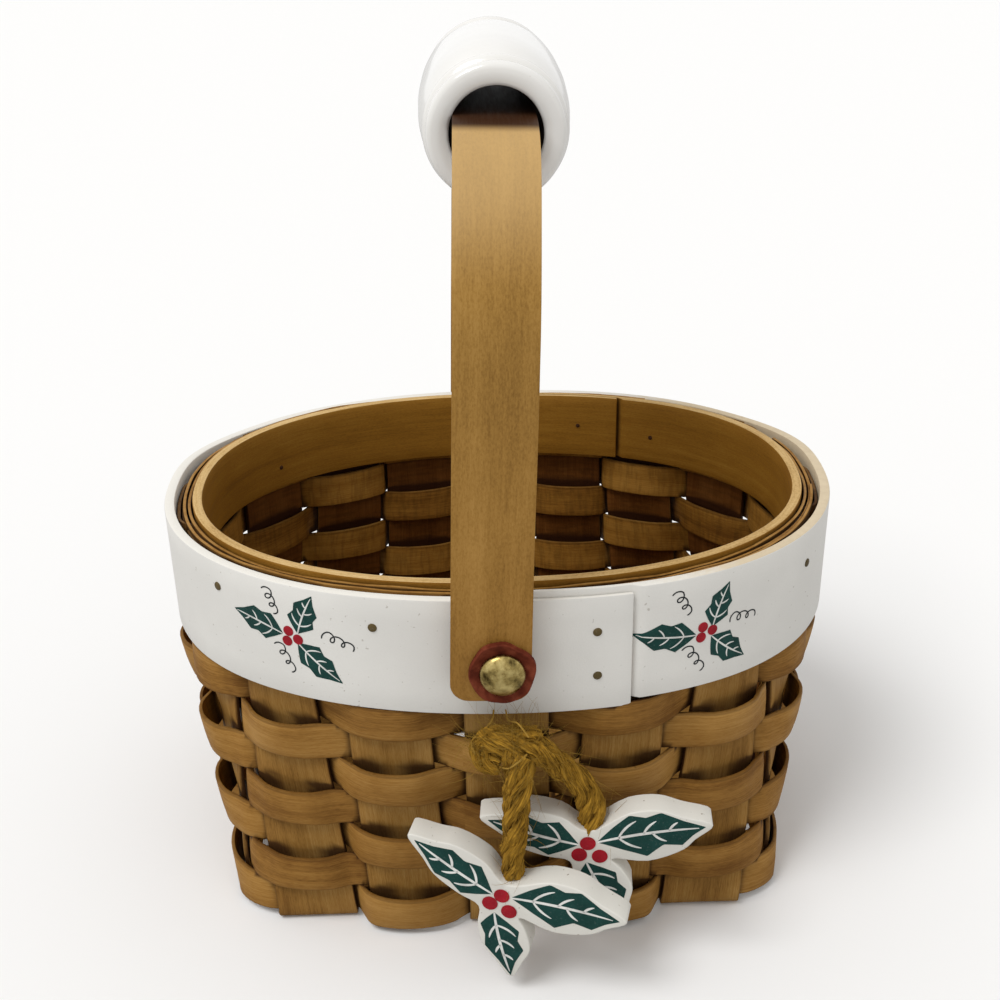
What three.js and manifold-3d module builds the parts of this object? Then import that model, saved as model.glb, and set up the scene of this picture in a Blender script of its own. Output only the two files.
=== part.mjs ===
// An oval basket of flat wood splints with a swinging handle, a ceramic grip and a hanging holly ornament.
// Sizes are millimetres. The origin is the middle of the base, on the surface that it stands on.
// +X is right, +Y is back and +Z is up.
import * as THREE from 'three';
import { mergeVertices } from 'three/addons/utils/BufferGeometryUtils.js';
import Module from 'manifold-3d';

const wasm = await Module();
wasm.setup();

// Driving dimensions of the woven body
const SPLINT_WIDTH = 28;
const SPLINT_THICKNESS = 1.8;
const WEAVER_HEIGHT = 12.6;
const WEAVER_THICKNESS = 1.3;
const WEAVE_GAP = 0.3;
const ROW_PITCH = 13.05;
const FIRST_ROW_Z = 3;
const ROW_COUNT = 10;
const RIM_Z = 136.5;
const SPLINT_TOP_Z = 132.5;
const BEND_RADIUS = 3;
const BASE_PITCH = 34;
const LONG_SPLINTS = 4;
const CROSS_SPLINTS = 5;
const UPRIGHT_COUNT = 2 * (LONG_SPLINTS + CROSS_SPLINTS);

// Ovals as half length, half depth and squareness, where 2 is an ellipse and 4 is nearly a rectangle
const FOOT_OVAL = { halfX: 97.8, halfY: 82.7, power: 4 };
const RIM_OVAL = { halfX: 113, halfY: 87.1, power: 2.23 };
const WALL_FLARE_POWER = 1.15;

// Uprights stand further apart at the front of the rim than at its back
const FRONT_RIM_PITCH = 40;
const BACK_RIM_PITCH = 31.5;

// How far a weaver's middle stands off the splint's middle
const WEAVE_EDGE_OFFSET = 2.05;
const WEAVE_CREST_OFFSET = 3.7;
const RIM_WEAVE_OFFSET = 1.86;
const FIRST_BAND_ROW = 7;
const WEAVER_CREST_HALF = 5.4;
const WEAVER_EDGE_HALF = SPLINT_WIDTH / 2 + 0.4;
const CORNER_TURN = THREE.MathUtils.degToRad(25);
const CORNER_PUSH = 0.12;

// Rim hoops
const HOOP_THICKNESS = 3.6;
const HOOP_HEIGHT = 26;
const HOOP_OUTER = { halfX: 110, halfY: 83.2, power: 2.23 };
const BAND_HEIGHT = 42;
const BAND_OUTER = { halfX: 119.6, halfY: 94.6, power: 2.23 };
const HOOP_TAPER = 0.8;
const BAND_TAPER = 0.9;
const HOOP_STEPS = 56;
const BAND_LAP_END_X = 40.8;
const BAND_LAP_LENGTH = 62;
const BAND_LAP_DROP = 1.4;
const BAND_LAP_RISE = 1.4;
const HOOP_LAP_START_X = 52;
const HOOP_LAP_LENGTH = 45;
const LAP_GAP = 0.3;
const LAP_RAMP = 3;
const LAP_EASE_LENGTH = 70;
const LAP_EASE_POWER = 1.5;

// Handle and grip: the rivet holes are beside the middle of the legs, and the handle leans to the right
const PIVOT_X = -1.4;
const PIVOT_Z = 115.4;
const HANDLE_HOLE_OFFSET = 3.6;
const HANDLE_LEAN = THREE.MathUtils.degToRad(2);
const HANDLE_WIDTH = 25.4;
const HANDLE_THICKNESS = 5;
const HANDLE_EDGE = 1.1;
const HANDLE_LEG_Y = 99.9;
const HANDLE_BAR_Z = 273.2;
const HANDLE_BEND_RADIUS = 50;
const HANDLE_END_DROP = 11.2;
const HANDLE_END_ROUND = 6;
const GRIP_X = 1.1;
const GRIP_Z = 270;
const GRIP_HALF_LENGTH = 47.7;
const GRIP_BORE_RADIUS = 14.5;
const GRIP_END_RADIUS = 21.6;
const GRIP_BODY_RADIUS = 24.6;
const GRIP_SEGMENTS = 24;

// Rivets and their washers
const RIVET_RADIUS = 3;
const RIVET_CLEARANCE = 0.3;
const RIVET_HEAD_RADIUS = 7.3;
const RIVET_HEAD_HEIGHT = 3.8;
const RIVET_CLENCH_RADIUS = 4;
const RIVET_CLENCH_HEIGHT = 1.5;
const RIVET_SEGMENTS = 16;
const LEATHER_RADIUS = 9.9;
const LEATHER_THICKNESS = 1.6;
const SPACER_RADIUS = 8.5;
const BURR_RADIUS = 6.5;
const BURR_THICKNESS = 1;
const TOUCH_GAP = 0.3;

// Twine knot below the band, and the two wood cut-outs that hang from it
const KNOT = { x: 3.5, z: 91, radius: 7.5, frontY: -113, backY: -98, chamfer: 3 };
const KNOT_LOBES = [
  { x: -5, y: -105, z: 94, radius: 5.5 },
  { x: 9.5, y: -105, z: 95.3, radius: 4.6 },
];
const TWINE_RADIUS = 3.7;
const ORNAMENT_THICKNESS = 9.5;
const ORNAMENT_CORE_RADIUS = 8;
const FRONT_ORNAMENT = { x: -3, y: -112.5, z: 37.5, facing: -14, tilt: 0 };
const REAR_ORNAMENT = { x: 25.5, y: -102, z: 49, facing: -4, tilt: 17 };

const group = new THREE.Group();
group.name = 'oval_woven_basket';

const splintWood = new THREE.MeshStandardMaterial({ color: 0x8a6238, roughness: 0.75, metalness: 0 });
const hoopWood = new THREE.MeshStandardMaterial({ color: 0xa27a3e, roughness: 0.6, metalness: 0 });
const whitePaint = new THREE.MeshStandardMaterial({ color: 0xe9e6df, roughness: 0.55, metalness: 0 });
const handleWood = new THREE.MeshStandardMaterial({ color: 0xa5743a, roughness: 0.5, metalness: 0 });
const glazedCeramic = new THREE.MeshStandardMaterial({ color: 0xf4f3ef, roughness: 0.15, metalness: 0 });
const brass = new THREE.MeshStandardMaterial({ color: 0xc79a3a, roughness: 0.25, metalness: 1 });
const leather = new THREE.MeshStandardMaterial({ color: 0x7a3420, roughness: 0.8, metalness: 0 });
const jute = new THREE.MeshStandardMaterial({ color: 0x96732a, roughness: 0.95, metalness: 0 });
const ornamentPaint = new THREE.MeshStandardMaterial({ color: 0xefeeea, roughness: 0.6, metalness: 0 });

function addMesh(name, geometry, material) {
  const mesh = new THREE.Mesh(geometry, material.clone());
  mesh.name = name;
  group.add(mesh);
  return mesh;
}

// Skins a row of equal outlines into one closed body
function loft(outlines, isRing) {
  const sides = outlines[0].length;
  const positions = [];
  for (const outline of outlines) {
    for (const point of outline) {
      positions.push(point.x, point.y, point.z);
    }
  }
  const indices = [];
  const spans = isRing ? outlines.length : outlines.length - 1;
  for (let row = 0; row < spans; row += 1) {
    const here = row * sides;
    const next = ((row + 1) % outlines.length) * sides;
    for (let side = 0; side < sides; side += 1) {
      const turn = (side + 1) % sides;
      indices.push(here + side, here + turn, next + turn);
      indices.push(here + side, next + turn, next + side);
    }
  }
  if (!isRing) {
    const last = (outlines.length - 1) * sides;
    for (let side = 1; side < sides - 1; side += 1) {
      indices.push(0, side + 1, side);
      indices.push(last, last + side, last + side + 1);
    }
  }
  const geometry = new THREE.BufferGeometry();
  geometry.setAttribute('position', new THREE.Float32BufferAttribute(positions, 3));
  geometry.setIndex(signedVolume(positions, indices) < 0 ? indices.reverse() : indices);
  return geometry;
}

function signedVolume(positions, indices) {
  const corner = (index) => new THREE.Vector3().fromArray(positions, index * 3);
  let volume = 0;
  for (let start = 0; start < indices.length; start += 3) {
    const first = corner(indices[start]);
    volume += first.dot(corner(indices[start + 1]).cross(corner(indices[start + 2]))) / 6;
  }
  return volume;
}

function toManifold(geometry) {
  const plain = geometry.clone();
  plain.deleteAttribute('normal');
  plain.deleteAttribute('uv');
  const merged = mergeVertices(plain, 1e-4);
  return new wasm.Manifold(new wasm.Mesh({
    numProp: 3,
    vertProperties: new Float32Array(merged.attributes.position.array),
    triVerts: new Uint32Array(merged.index.array),
  }));
}

function fromManifold(solid) {
  const mesh = solid.getMesh();
  const geometry = new THREE.BufferGeometry();
  const positions = [];
  for (let vertex = 0; vertex < mesh.numVert; vertex += 1) {
    positions.push(...mesh.vertProperties.slice(vertex * mesh.numProp, vertex * mesh.numProp + 3));
  }
  geometry.setAttribute('position', new THREE.Float32BufferAttribute(positions, 3));
  geometry.setIndex(Array.from(mesh.triVerts));
  return geometry;
}

// One drill along Y makes the rivet holes in both long walls and both handle legs
const RIVET_HOLE_RADIUS = RIVET_RADIUS + RIVET_CLEARANCE;
const DRILL_LENGTH = 2 * (HANDLE_LEG_Y + HANDLE_THICKNESS);
const rivetHole = new THREE.CylinderGeometry(RIVET_HOLE_RADIUS, RIVET_HOLE_RADIUS, DRILL_LENGTH, 12);
rivetHole.translate(PIVOT_X, 0, PIVOT_Z);
const rivetDrill = toManifold(rivetHole);

function drilled(geometry) {
  return fromManifold(toManifold(geometry).subtract(rivetDrill));
}

// Points of a superellipse spaced by distance along it, counted from the front middle towards the right
function ovalTrack({ halfX, halfY, power }) {
  const samples = 1440;
  const points = [];
  for (let sample = 0; sample <= samples; sample += 1) {
    const turn = -Math.PI / 2 + (2 * Math.PI * sample) / samples;
    const across = Math.cos(turn);
    const along = Math.sin(turn);
    points.push(new THREE.Vector2(
      halfX * Math.sign(across) * Math.abs(across) ** (2 / power),
      halfY * Math.sign(along) * Math.abs(along) ** (2 / power),
    ));
  }
  const distances = [0];
  for (let sample = 1; sample <= samples; sample += 1) {
    distances.push(distances[sample - 1] + points[sample].distanceTo(points[sample - 1]));
  }
  const length = distances[samples];
  const pointAt = (distance) => {
    const wanted = ((distance % length) + length) % length;
    let low = 0;
    let high = samples;
    while (high - low > 1) {
      const middle = (low + high) >> 1;
      if (distances[middle] <= wanted) {
        low = middle;
      } else {
        high = middle;
      }
    }
    const part = (wanted - distances[low]) / (distances[high] - distances[low]);
    return points[low].clone().lerp(points[high], part);
  };
  const normalAt = (distance) => {
    const point = pointAt(distance);
    const slopeX = Math.sign(point.x) * Math.abs(point.x / halfX) ** (power - 1) / halfX;
    const slopeY = Math.sign(point.y) * Math.abs(point.y / halfY) ** (power - 1) / halfY;
    return new THREE.Vector2(slopeX, slopeY).normalize();
  };
  return { length, pointAt, normalAt };
}

function nearestAngle(angle, target) {
  const turn = 2 * Math.PI;
  return angle + turn * Math.round((target - angle) / turn);
}

const rimTrack = ovalTrack(RIM_OVAL);

function footDistance(span, halfSpan, otherHalf) {
  return otherHalf * (1 - Math.abs(span / halfSpan) ** FOOT_OVAL.power) ** (1 / FOOT_OVAL.power);
}

// Where each upright's middle meets the rim, as a distance from the front middle
function rimDistance(index) {
  const half = rimTrack.length / 2;
  const frontReach = (CROSS_SPLINTS - 1) / 2;
  const backIndex = UPRIGHT_COUNT / 2;
  const mirrored = index > backIndex;
  const step = mirrored ? UPRIGHT_COUNT - index : index;
  let distance;
  if (step <= frontReach) {
    distance = step * FRONT_RIM_PITCH;
  } else if (step >= backIndex - frontReach) {
    distance = half - (backIndex - step) * BACK_RIM_PITCH;
  } else {
    const start = frontReach * FRONT_RIM_PITCH;
    const end = half - frontReach * BACK_RIM_PITCH;
    distance = start + ((step - frontReach) * (end - start)) / (LONG_SPLINTS + 1);
  }
  return mirrored ? rimTrack.length - distance : distance;
}

function crossSplintX(order) {
  return (order - (CROSS_SPLINTS - 1) / 2) * BASE_PITCH;
}

function longSplintY(order) {
  return (order - (LONG_SPLINTS - 1) / 2) * BASE_PITCH;
}

// Uprights are numbered from the front middle round to the right, as seen from above
function footOf(index) {
  const reach = (CROSS_SPLINTS - 1) / 2;
  const back = UPRIGHT_COUNT / 2;
  if (index <= reach || index >= UPRIGHT_COUNT - reach) {
    const x = (index <= reach ? index : index - UPRIGHT_COUNT) * BASE_PITCH;
    const y = -footDistance(x, FOOT_OVAL.halfX, FOOT_OVAL.halfY);
    return { point: new THREE.Vector2(x, y), angle: -Math.PI / 2 };
  }
  if (Math.abs(index - back) <= reach) {
    const x = (back - index) * BASE_PITCH;
    const y = footDistance(x, FOOT_OVAL.halfX, FOOT_OVAL.halfY);
    return { point: new THREE.Vector2(x, y), angle: Math.PI / 2 };
  }
  if (index < back) {
    const y = longSplintY(index - reach - 1);
    const x = footDistance(y, FOOT_OVAL.halfY, FOOT_OVAL.halfX);
    return { point: new THREE.Vector2(x, y), angle: 0 };
  }
  const y = longSplintY(UPRIGHT_COUNT - reach - 1 - index);
  const x = -footDistance(y, FOOT_OVAL.halfY, FOOT_OVAL.halfX);
  return { point: new THREE.Vector2(x, y), angle: Math.PI };
}

const uprights = Array.from({ length: UPRIGHT_COUNT }, (_, index) => {
  const foot = footOf(index);
  const distance = rimDistance(index);
  const rimNormal = rimTrack.normalAt(distance);
  const rimAngle = nearestAngle(Math.atan2(rimNormal.y, rimNormal.x), foot.angle);
  const before = rimTrack.normalAt(distance - SPLINT_WIDTH / 2);
  const after = rimTrack.normalAt(distance + SPLINT_WIDTH / 2);
  const rimBow = before.angleTo(after) / SPLINT_WIDTH;
  return { foot, rimPoint: rimTrack.pointAt(distance), rimAngle, rimBow };
});

const WALL_FOOT_Z = BEND_RADIUS + SPLINT_THICKNESS / 2;
const BAND_BOTTOM_Z = RIM_Z - BAND_HEIGHT;

// The frame of an upright at a height: its middle, the way across it, the way out, and how much it bows
function wallFrame(index, height) {
  const { foot, rimPoint, rimAngle, rimBow } = uprights[index];
  const rise = THREE.MathUtils.clamp((height - WALL_FOOT_Z) / (BAND_BOTTOM_Z - WALL_FOOT_Z), 0, 1);
  const flare = 1 - (1 - rise) ** WALL_FLARE_POWER;
  const depthBelowRim = Math.min(RIM_Z - height, BAND_HEIGHT);
  const tuck = (BAND_TAPER * depthBelowRim) / BAND_HEIGHT;
  const rimNormal = new THREE.Vector2(Math.cos(rimAngle), Math.sin(rimAngle));
  const point = foot.point.clone().lerp(rimPoint.clone().addScaledVector(rimNormal, -tuck), flare);
  const angle = THREE.MathUtils.lerp(foot.angle, rimAngle, flare);
  return {
    centre: new THREE.Vector3(point.x, point.y, height),
    across: new THREE.Vector3(-Math.sin(angle), Math.cos(angle), 0),
    out: new THREE.Vector3(Math.cos(angle), Math.sin(angle), 0),
    bow: rimBow * flare,
  };
}

function framePoint(frame, along, offset) {
  return frame.centre.clone()
    .addScaledVector(frame.across, along)
    .addScaledVector(frame.out, offset - (frame.bow * along * along) / 2);
}

function splintOutline(frame, flip) {
  const half = SPLINT_WIDTH / 2;
  const thick = SPLINT_THICKNESS / 2;
  const places = flip ? [half, 0, -half] : [-half, 0, half];
  return [
    ...places.map((along) => framePoint(frame, along, thick)),
    ...places.slice().reverse().map((along) => framePoint(frame, along, -thick)),
  ];
}

// A splint goes down one wall, across the base over and under the others, and up the far wall
const WALL_STATIONS = [SPLINT_TOP_Z, BAND_BOTTOM_Z, 81, 62, 42, 22];
const BEND_STEPS = 3;
const LOW_LAYER_Z = SPLINT_THICKNESS / 2;
const HIGH_LAYER_Z = LOW_LAYER_Z + SPLINT_THICKNESS + WEAVE_GAP;
const CROSSING_HALF = SPLINT_WIDTH / 2 + 0.1;

function bendFrames(index) {
  const { foot } = uprights[index];
  const outward = new THREE.Vector3(Math.cos(foot.angle), Math.sin(foot.angle), 0);
  const across = new THREE.Vector3(-Math.sin(foot.angle), Math.cos(foot.angle), 0);
  const frames = [];
  for (let step = 0; step <= BEND_STEPS; step += 1) {
    const turn = (step / BEND_STEPS) * (Math.PI / 2);
    const centre = new THREE.Vector3(foot.point.x, foot.point.y, WALL_FOOT_Z)
      .addScaledVector(outward, -BEND_RADIUS * (1 - Math.cos(turn)))
      .add(new THREE.Vector3(0, 0, -BEND_RADIUS * Math.sin(turn)));
    const out = outward.clone().multiplyScalar(Math.cos(turn)).add(new THREE.Vector3(0, 0, -Math.sin(turn)));
    frames.push({ centre, across, out, bow: 0 });
  }
  return frames;
}

function baseSplint(startIndex, endIndex, crossings) {
  const outlines = [];
  for (const height of WALL_STATIONS) {
    outlines.push(splintOutline(wallFrame(startIndex, height), false));
  }
  for (const frame of bendFrames(startIndex)) {
    outlines.push(splintOutline(frame, false));
  }
  const across = wallFrame(startIndex, 0).across;
  const down = new THREE.Vector3(0, 0, -1);
  for (const { point, isHigh } of crossings) {
    const travel = uprights[endIndex].foot.point.clone().sub(uprights[startIndex].foot.point).normalize();
    for (const side of [-1, 1]) {
      const reach = side * CROSSING_HALF;
      const centre = new THREE.Vector3(point.x + travel.x * reach, point.y + travel.y * reach, 0);
      centre.z = isHigh ? HIGH_LAYER_Z : LOW_LAYER_Z;
      outlines.push(splintOutline({ centre, across, out: down, bow: 0 }, false));
    }
  }
  for (const frame of bendFrames(endIndex).reverse()) {
    outlines.push(splintOutline(frame, true));
  }
  for (const height of WALL_STATIONS.slice().reverse()) {
    outlines.push(splintOutline(wallFrame(endIndex, height), true));
  }
  return loft(outlines, false);
}

const crossNames = ['left_outer', 'left_inner', 'middle', 'right_inner', 'right_outer'];
const longNames = ['front_outer', 'front_inner', 'back_inner', 'back_outer'];
for (let order = 0; order < CROSS_SPLINTS; order += 1) {
  const x = crossSplintX(order);
  const reach = order - (CROSS_SPLINTS - 1) / 2;
  const frontIndex = (reach + UPRIGHT_COUNT) % UPRIGHT_COUNT;
  const backIndex = UPRIGHT_COUNT / 2 - reach;
  const crossings = longNames.map((_, other) => ({
    point: new THREE.Vector2(x, longSplintY(other)),
    isHigh: (order + other) % 2 === 0,
  }));
  const geometry = baseSplint(frontIndex, backIndex, crossings);
  addMesh(`cross_splint_${crossNames[order]}`, reach === 0 ? drilled(geometry) : geometry, splintWood);
}
for (let order = 0; order < LONG_SPLINTS; order += 1) {
  const y = longSplintY(order);
  const rightIndex = (CROSS_SPLINTS - 1) / 2 + 1 + order;
  const leftIndex = UPRIGHT_COUNT - rightIndex;
  const crossings = crossNames.map((_, other) => ({
    point: new THREE.Vector2(crossSplintX(other), y),
    isHigh: (order + other) % 2 === 1,
  }));
  addMesh(`long_splint_${longNames[order]}`, baseSplint(leftIndex, rightIndex, crossings), splintWood);
}

// One weaver hoop: it passes outside every second upright, and each row starts one upright later
function weaverOutline(low, high, along, offset) {
  const half = WEAVER_THICKNESS / 2;
  return [
    framePoint(low, along, offset - half),
    framePoint(low, along, offset + half),
    framePoint(high, along, offset + half),
    framePoint(high, along, offset - half),
  ];
}

function cornerOutline(ends) {
  const middle = ends[0].map((point, vertex) => point.clone().lerp(ends[1][vertex], 0.5));
  const low = middle[0].clone().lerp(middle[1], 0.5);
  const high = middle[3].clone().lerp(middle[2], 0.5);
  const outward = new THREE.Vector3(low.x, low.y, 0).normalize();
  const push = ends[0][0].distanceTo(ends[1][0]) * CORNER_PUSH;
  const half = WEAVER_THICKNESS / 2;
  return [[low, -half], [low, half], [high, half], [high, -half]]
    .map(([point, side]) => point.clone().addScaledVector(outward, push + side));
}

function weaverHoop(row) {
  const lowZ = FIRST_ROW_Z + row * ROW_PITCH;
  const highZ = lowZ + WEAVER_HEIGHT;
  const isFlat = row > FIRST_BAND_ROW;
  const outlines = [];
  for (let index = 0; index < UPRIGHT_COUNT; index += 1) {
    const low = wallFrame(index, lowZ);
    const high = wallFrame(index, highZ);
    const isOutside = (index + row) % 2 === 1;
    const side = isOutside ? 1 : -1;
    const isPressed = isFlat || (row === FIRST_BAND_ROW && isOutside);
    const crest = isPressed ? RIM_WEAVE_OFFSET : WEAVE_CREST_OFFSET;
    const edge = isFlat ? RIM_WEAVE_OFFSET : WEAVE_EDGE_OFFSET;
    const crestPlaces = isFlat ? [0] : [-WEAVER_CREST_HALF, WEAVER_CREST_HALF];
    outlines.push(weaverOutline(low, high, -WEAVER_EDGE_HALF, side * edge));
    for (const along of crestPlaces) {
      outlines.push(weaverOutline(low, high, along, side * crest));
    }
    const edgeOutline = weaverOutline(low, high, WEAVER_EDGE_HALF, side * edge);
    outlines.push(edgeOutline);
    const next = (index + 1) % UPRIGHT_COUNT;
    const nextLow = wallFrame(next, lowZ);
    const nextHigh = wallFrame(next, highZ);
    if (low.out.angleTo(nextLow.out) > CORNER_TURN) {
      const nextOutline = weaverOutline(nextLow, nextHigh, -WEAVER_EDGE_HALF, -side * edge);
      outlines.push(cornerOutline([edgeOutline, nextOutline]));
    }
  }
  return loft(outlines, true);
}

for (let row = 0; row < ROW_COUNT; row += 1) {
  const crossesRivet = Math.abs(FIRST_ROW_Z + row * ROW_PITCH + WEAVER_HEIGHT / 2 - PIVOT_Z)
    < WEAVER_HEIGHT / 2 + RIVET_RADIUS + RIVET_CLEARANCE;
  const geometry = weaverHoop(row);
  addMesh(`weaver_row_${row + 1}`, crossesRivet ? drilled(geometry) : geometry, splintWood);
}

// A bent strip that runs once round the rim and overlaps itself, each end thinned to half its thickness
function lappedStrip({ outer, thickness, height, taper, lapEnd, lapLength, endDrop, startRise }) {
  const track = ovalTrack(outer);
  const total = track.length + lapLength;
  const start = lapEnd - lapLength;
  const pared = (thickness + LAP_GAP) / 2;
  const easeLength = lapLength + LAP_EASE_LENGTH;
  const places = [lapLength, lapLength + LAP_RAMP, track.length - LAP_RAMP, track.length];
  for (let step = 0; step <= HOOP_STEPS; step += 1) {
    places.push((total * step) / HOOP_STEPS);
  }
  places.sort((first, second) => first - second);
  return loft(places.map((travel) => {
    const distance = start + travel;
    const point = track.pointAt(distance);
    const normal = track.normalAt(distance);
    const out = new THREE.Vector3(normal.x, normal.y, 0);
    const startPared = 1 - THREE.MathUtils.clamp((travel - lapLength) / LAP_RAMP, 0, 1);
    const endPared = THREE.MathUtils.clamp((travel - track.length + LAP_RAMP) / LAP_RAMP, 0, 1);
    const skinOut = pared * startPared;
    const skinIn = thickness - pared * endPared;
    const startEase = THREE.MathUtils.clamp(1 - travel / easeLength, 0, 1) ** LAP_EASE_POWER;
    const endEase = THREE.MathUtils.clamp(1 - (total - travel) / easeLength, 0, 1) ** LAP_EASE_POWER;
    const lift = startRise * startEase - endDrop * endEase;
    const high = RIM_Z + lift;
    const low = high - height;
    const corners = [[skinIn + taper, low], [skinOut + taper, low], [skinOut, high], [skinIn, high]];
    return corners.map(([depth, z]) => new THREE.Vector3(point.x, point.y, z).addScaledVector(out, -depth));
  }), false);
}

function distanceAtX(outer, x, isBack) {
  const track = ovalTrack(outer);
  let low = isBack ? track.length / 2 : 0;
  let high = track.length / 4;
  for (let step = 0; step < 40; step += 1) {
    const middle = (low + high) / 2;
    if (track.pointAt(middle).x < x) {
      low = middle;
    } else {
      high = middle;
    }
  }
  return low;
}

const innerHoop = lappedStrip({
  outer: HOOP_OUTER,
  thickness: HOOP_THICKNESS,
  height: HOOP_HEIGHT,
  taper: HOOP_TAPER,
  lapEnd: distanceAtX(HOOP_OUTER, HOOP_LAP_START_X, true) + HOOP_LAP_LENGTH,
  lapLength: HOOP_LAP_LENGTH,
  endDrop: 0,
  startRise: 0,
});
addMesh('inner_rim_hoop', drilled(innerHoop), hoopWood);

const outerBand = lappedStrip({
  outer: BAND_OUTER,
  thickness: HOOP_THICKNESS,
  height: BAND_HEIGHT,
  taper: BAND_TAPER,
  lapEnd: distanceAtX(BAND_OUTER, BAND_LAP_END_X, false),
  lapLength: BAND_LAP_LENGTH,
  endDrop: BAND_LAP_DROP,
  startRise: BAND_LAP_RISE,
});
addMesh('outer_rim_band', drilled(outerBand), whitePaint);

// The bail handle: two straight legs, two round bends and a bar, bent from one strip
function handleOutline(centre, outward, halfWidth) {
  const half = HANDLE_THICKNESS / 2;
  const edge = Math.min(HANDLE_EDGE, halfWidth / 2);
  const quarter = [[halfWidth, half - edge], [halfWidth - edge, half]];
  const outer = [...quarter, ...quarter.slice().reverse().map(([x, depth]) => [-x, depth])];
  const inner = outer.map(([x, depth]) => [-x, -depth]);
  const across = new THREE.Vector3(1, 0, 0);
  return [...outer, ...inner]
    .map(([x, depth]) => centre.clone().addScaledVector(across, x).addScaledVector(outward, depth));
}

function handleGeometry() {
  const legEnd = PIVOT_Z - HANDLE_END_DROP;
  const bendZ = HANDLE_BAR_Z - HANDLE_BEND_RADIUS;
  const half = HANDLE_WIDTH / 2;
  const front = [];
  const roundSteps = 4;
  for (let step = 0; step <= roundSteps; step += 1) {
    const turn = (step / roundSteps) * (Math.PI / 2);
    const inset = HANDLE_END_ROUND * (1 - Math.sin(turn));
    const rise = HANDLE_END_ROUND * (1 - Math.cos(turn));
    front.push({ y: -HANDLE_LEG_Y, z: legEnd + rise, outY: -1, outZ: 0, half: half - inset });
  }
  front.push({ y: -HANDLE_LEG_Y, z: (legEnd + bendZ) / 2, outY: -1, outZ: 0, half });
  const bendSteps = 9;
  for (let step = 0; step <= bendSteps; step += 1) {
    const turn = (step / bendSteps) * (Math.PI / 2);
    front.push({
      y: -HANDLE_LEG_Y + HANDLE_BEND_RADIUS * (1 - Math.cos(turn)),
      z: bendZ + HANDLE_BEND_RADIUS * Math.sin(turn),
      outY: -Math.cos(turn),
      outZ: Math.sin(turn),
      half,
    });
  }
  const back = front.map((station) => ({ ...station, y: -station.y, outY: -station.outY })).reverse();
  const geometry = loft(front.concat(back).map(({ y, z, outY, outZ, half: halfWidth }) => handleOutline(
    new THREE.Vector3(0, y, z), new THREE.Vector3(0, outY, outZ), halfWidth,
  )), false);
  geometry.translate(-HANDLE_HOLE_OFFSET, 0, -PIVOT_Z);
  geometry.rotateY(HANDLE_LEAN);
  geometry.translate(PIVOT_X, 0, PIVOT_Z);
  return geometry;
}

addMesh('handle', drilled(handleGeometry()), handleWood);

// A turned piece round a line along Y, from points given as radius and distance along that line
function turned(profile, segments, x, z) {
  const outline = profile.map(([radius, along]) => new THREE.Vector2(radius, along));
  const geometry = new THREE.LatheGeometry(outline, segments);
  geometry.translate(x, 0, z);
  return geometry;
}

// The ceramic grip is a barrel with a flat collar and a bead at each end, as radius and distance from its end
const gripEnd = [
  [GRIP_BORE_RADIUS, 1.5], [GRIP_BORE_RADIUS + 1.2, 0],
  [GRIP_END_RADIUS - 1.6, 0], [GRIP_END_RADIUS, 1.8], [GRIP_END_RADIUS, 5], [GRIP_END_RADIUS - 1, 6],
  [GRIP_END_RADIUS + 0.9, 7.6], [GRIP_END_RADIUS + 0.9, 10], [GRIP_END_RADIUS - 0.4, 11.4],
  [GRIP_END_RADIUS + 1.5, 19], [GRIP_BODY_RADIUS - 0.5, 31],
];
const gripFront = gripEnd.map(([radius, inward]) => [radius, inward - GRIP_HALF_LENGTH]);
const gripBack = gripEnd.map(([radius, inward]) => [radius, GRIP_HALF_LENGTH - inward]).reverse();
const gripProfile = [...gripFront, [GRIP_BODY_RADIUS, 0], ...gripBack, gripFront[0]];
addMesh('ceramic_grip', turned(gripProfile, GRIP_SEGMENTS, GRIP_X, GRIP_Z), glazedCeramic);

// Rivets at the front and back: sign is -1 at the front and +1 at the back
const bandFaceY = BAND_OUTER.halfY - (BAND_TAPER * (RIM_Z - PIVOT_Z)) / BAND_HEIGHT;
const hoopInnerY = HOOP_OUTER.halfY - HOOP_THICKNESS - HOOP_TAPER;
const handleInnerY = HANDLE_LEG_Y - HANDLE_THICKNESS / 2;
const handleOuterY = HANDLE_LEG_Y + HANDLE_THICKNESS / 2;
const leatherY = handleOuterY + TOUCH_GAP;
const headY = leatherY + LEATHER_THICKNESS + TOUCH_GAP;
const burrOuterY = hoopInnerY - TOUCH_GAP;
const burrInnerY = burrOuterY - BURR_THICKNESS;

function washer(outerRadius, nearY, farY, sign) {
  const near = nearY * sign;
  const far = farY * sign;
  const hole = RIVET_HOLE_RADIUS;
  const profile = [[hole, near], [outerRadius, near], [outerRadius, far], [hole, far], [hole, near]];
  return turned(sign > 0 ? profile : profile.reverse(), RIVET_SEGMENTS, PIVOT_X, PIVOT_Z);
}

function rivet(sign) {
  const profile = [];
  const headSteps = 5;
  for (let step = 0; step <= headSteps; step += 1) {
    const turn = (step / headSteps) * (Math.PI / 2);
    const radius = step === 0 ? 0 : RIVET_HEAD_RADIUS * Math.sin(turn);
    profile.push([radius, sign * (headY + RIVET_HEAD_HEIGHT * Math.cos(turn))]);
  }
  const clenchY = burrInnerY - TOUCH_GAP;
  profile.push([RIVET_RADIUS, sign * headY]);
  profile.push([RIVET_RADIUS, sign * clenchY]);
  profile.push([RIVET_CLENCH_RADIUS, sign * clenchY]);
  profile.push([RIVET_CLENCH_RADIUS, sign * (clenchY - RIVET_CLENCH_HEIGHT / 2)]);
  profile.push([0, sign * (clenchY - RIVET_CLENCH_HEIGHT)]);
  return turned(sign < 0 ? profile : profile.reverse(), RIVET_SEGMENTS, PIVOT_X, PIVOT_Z);
}

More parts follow.
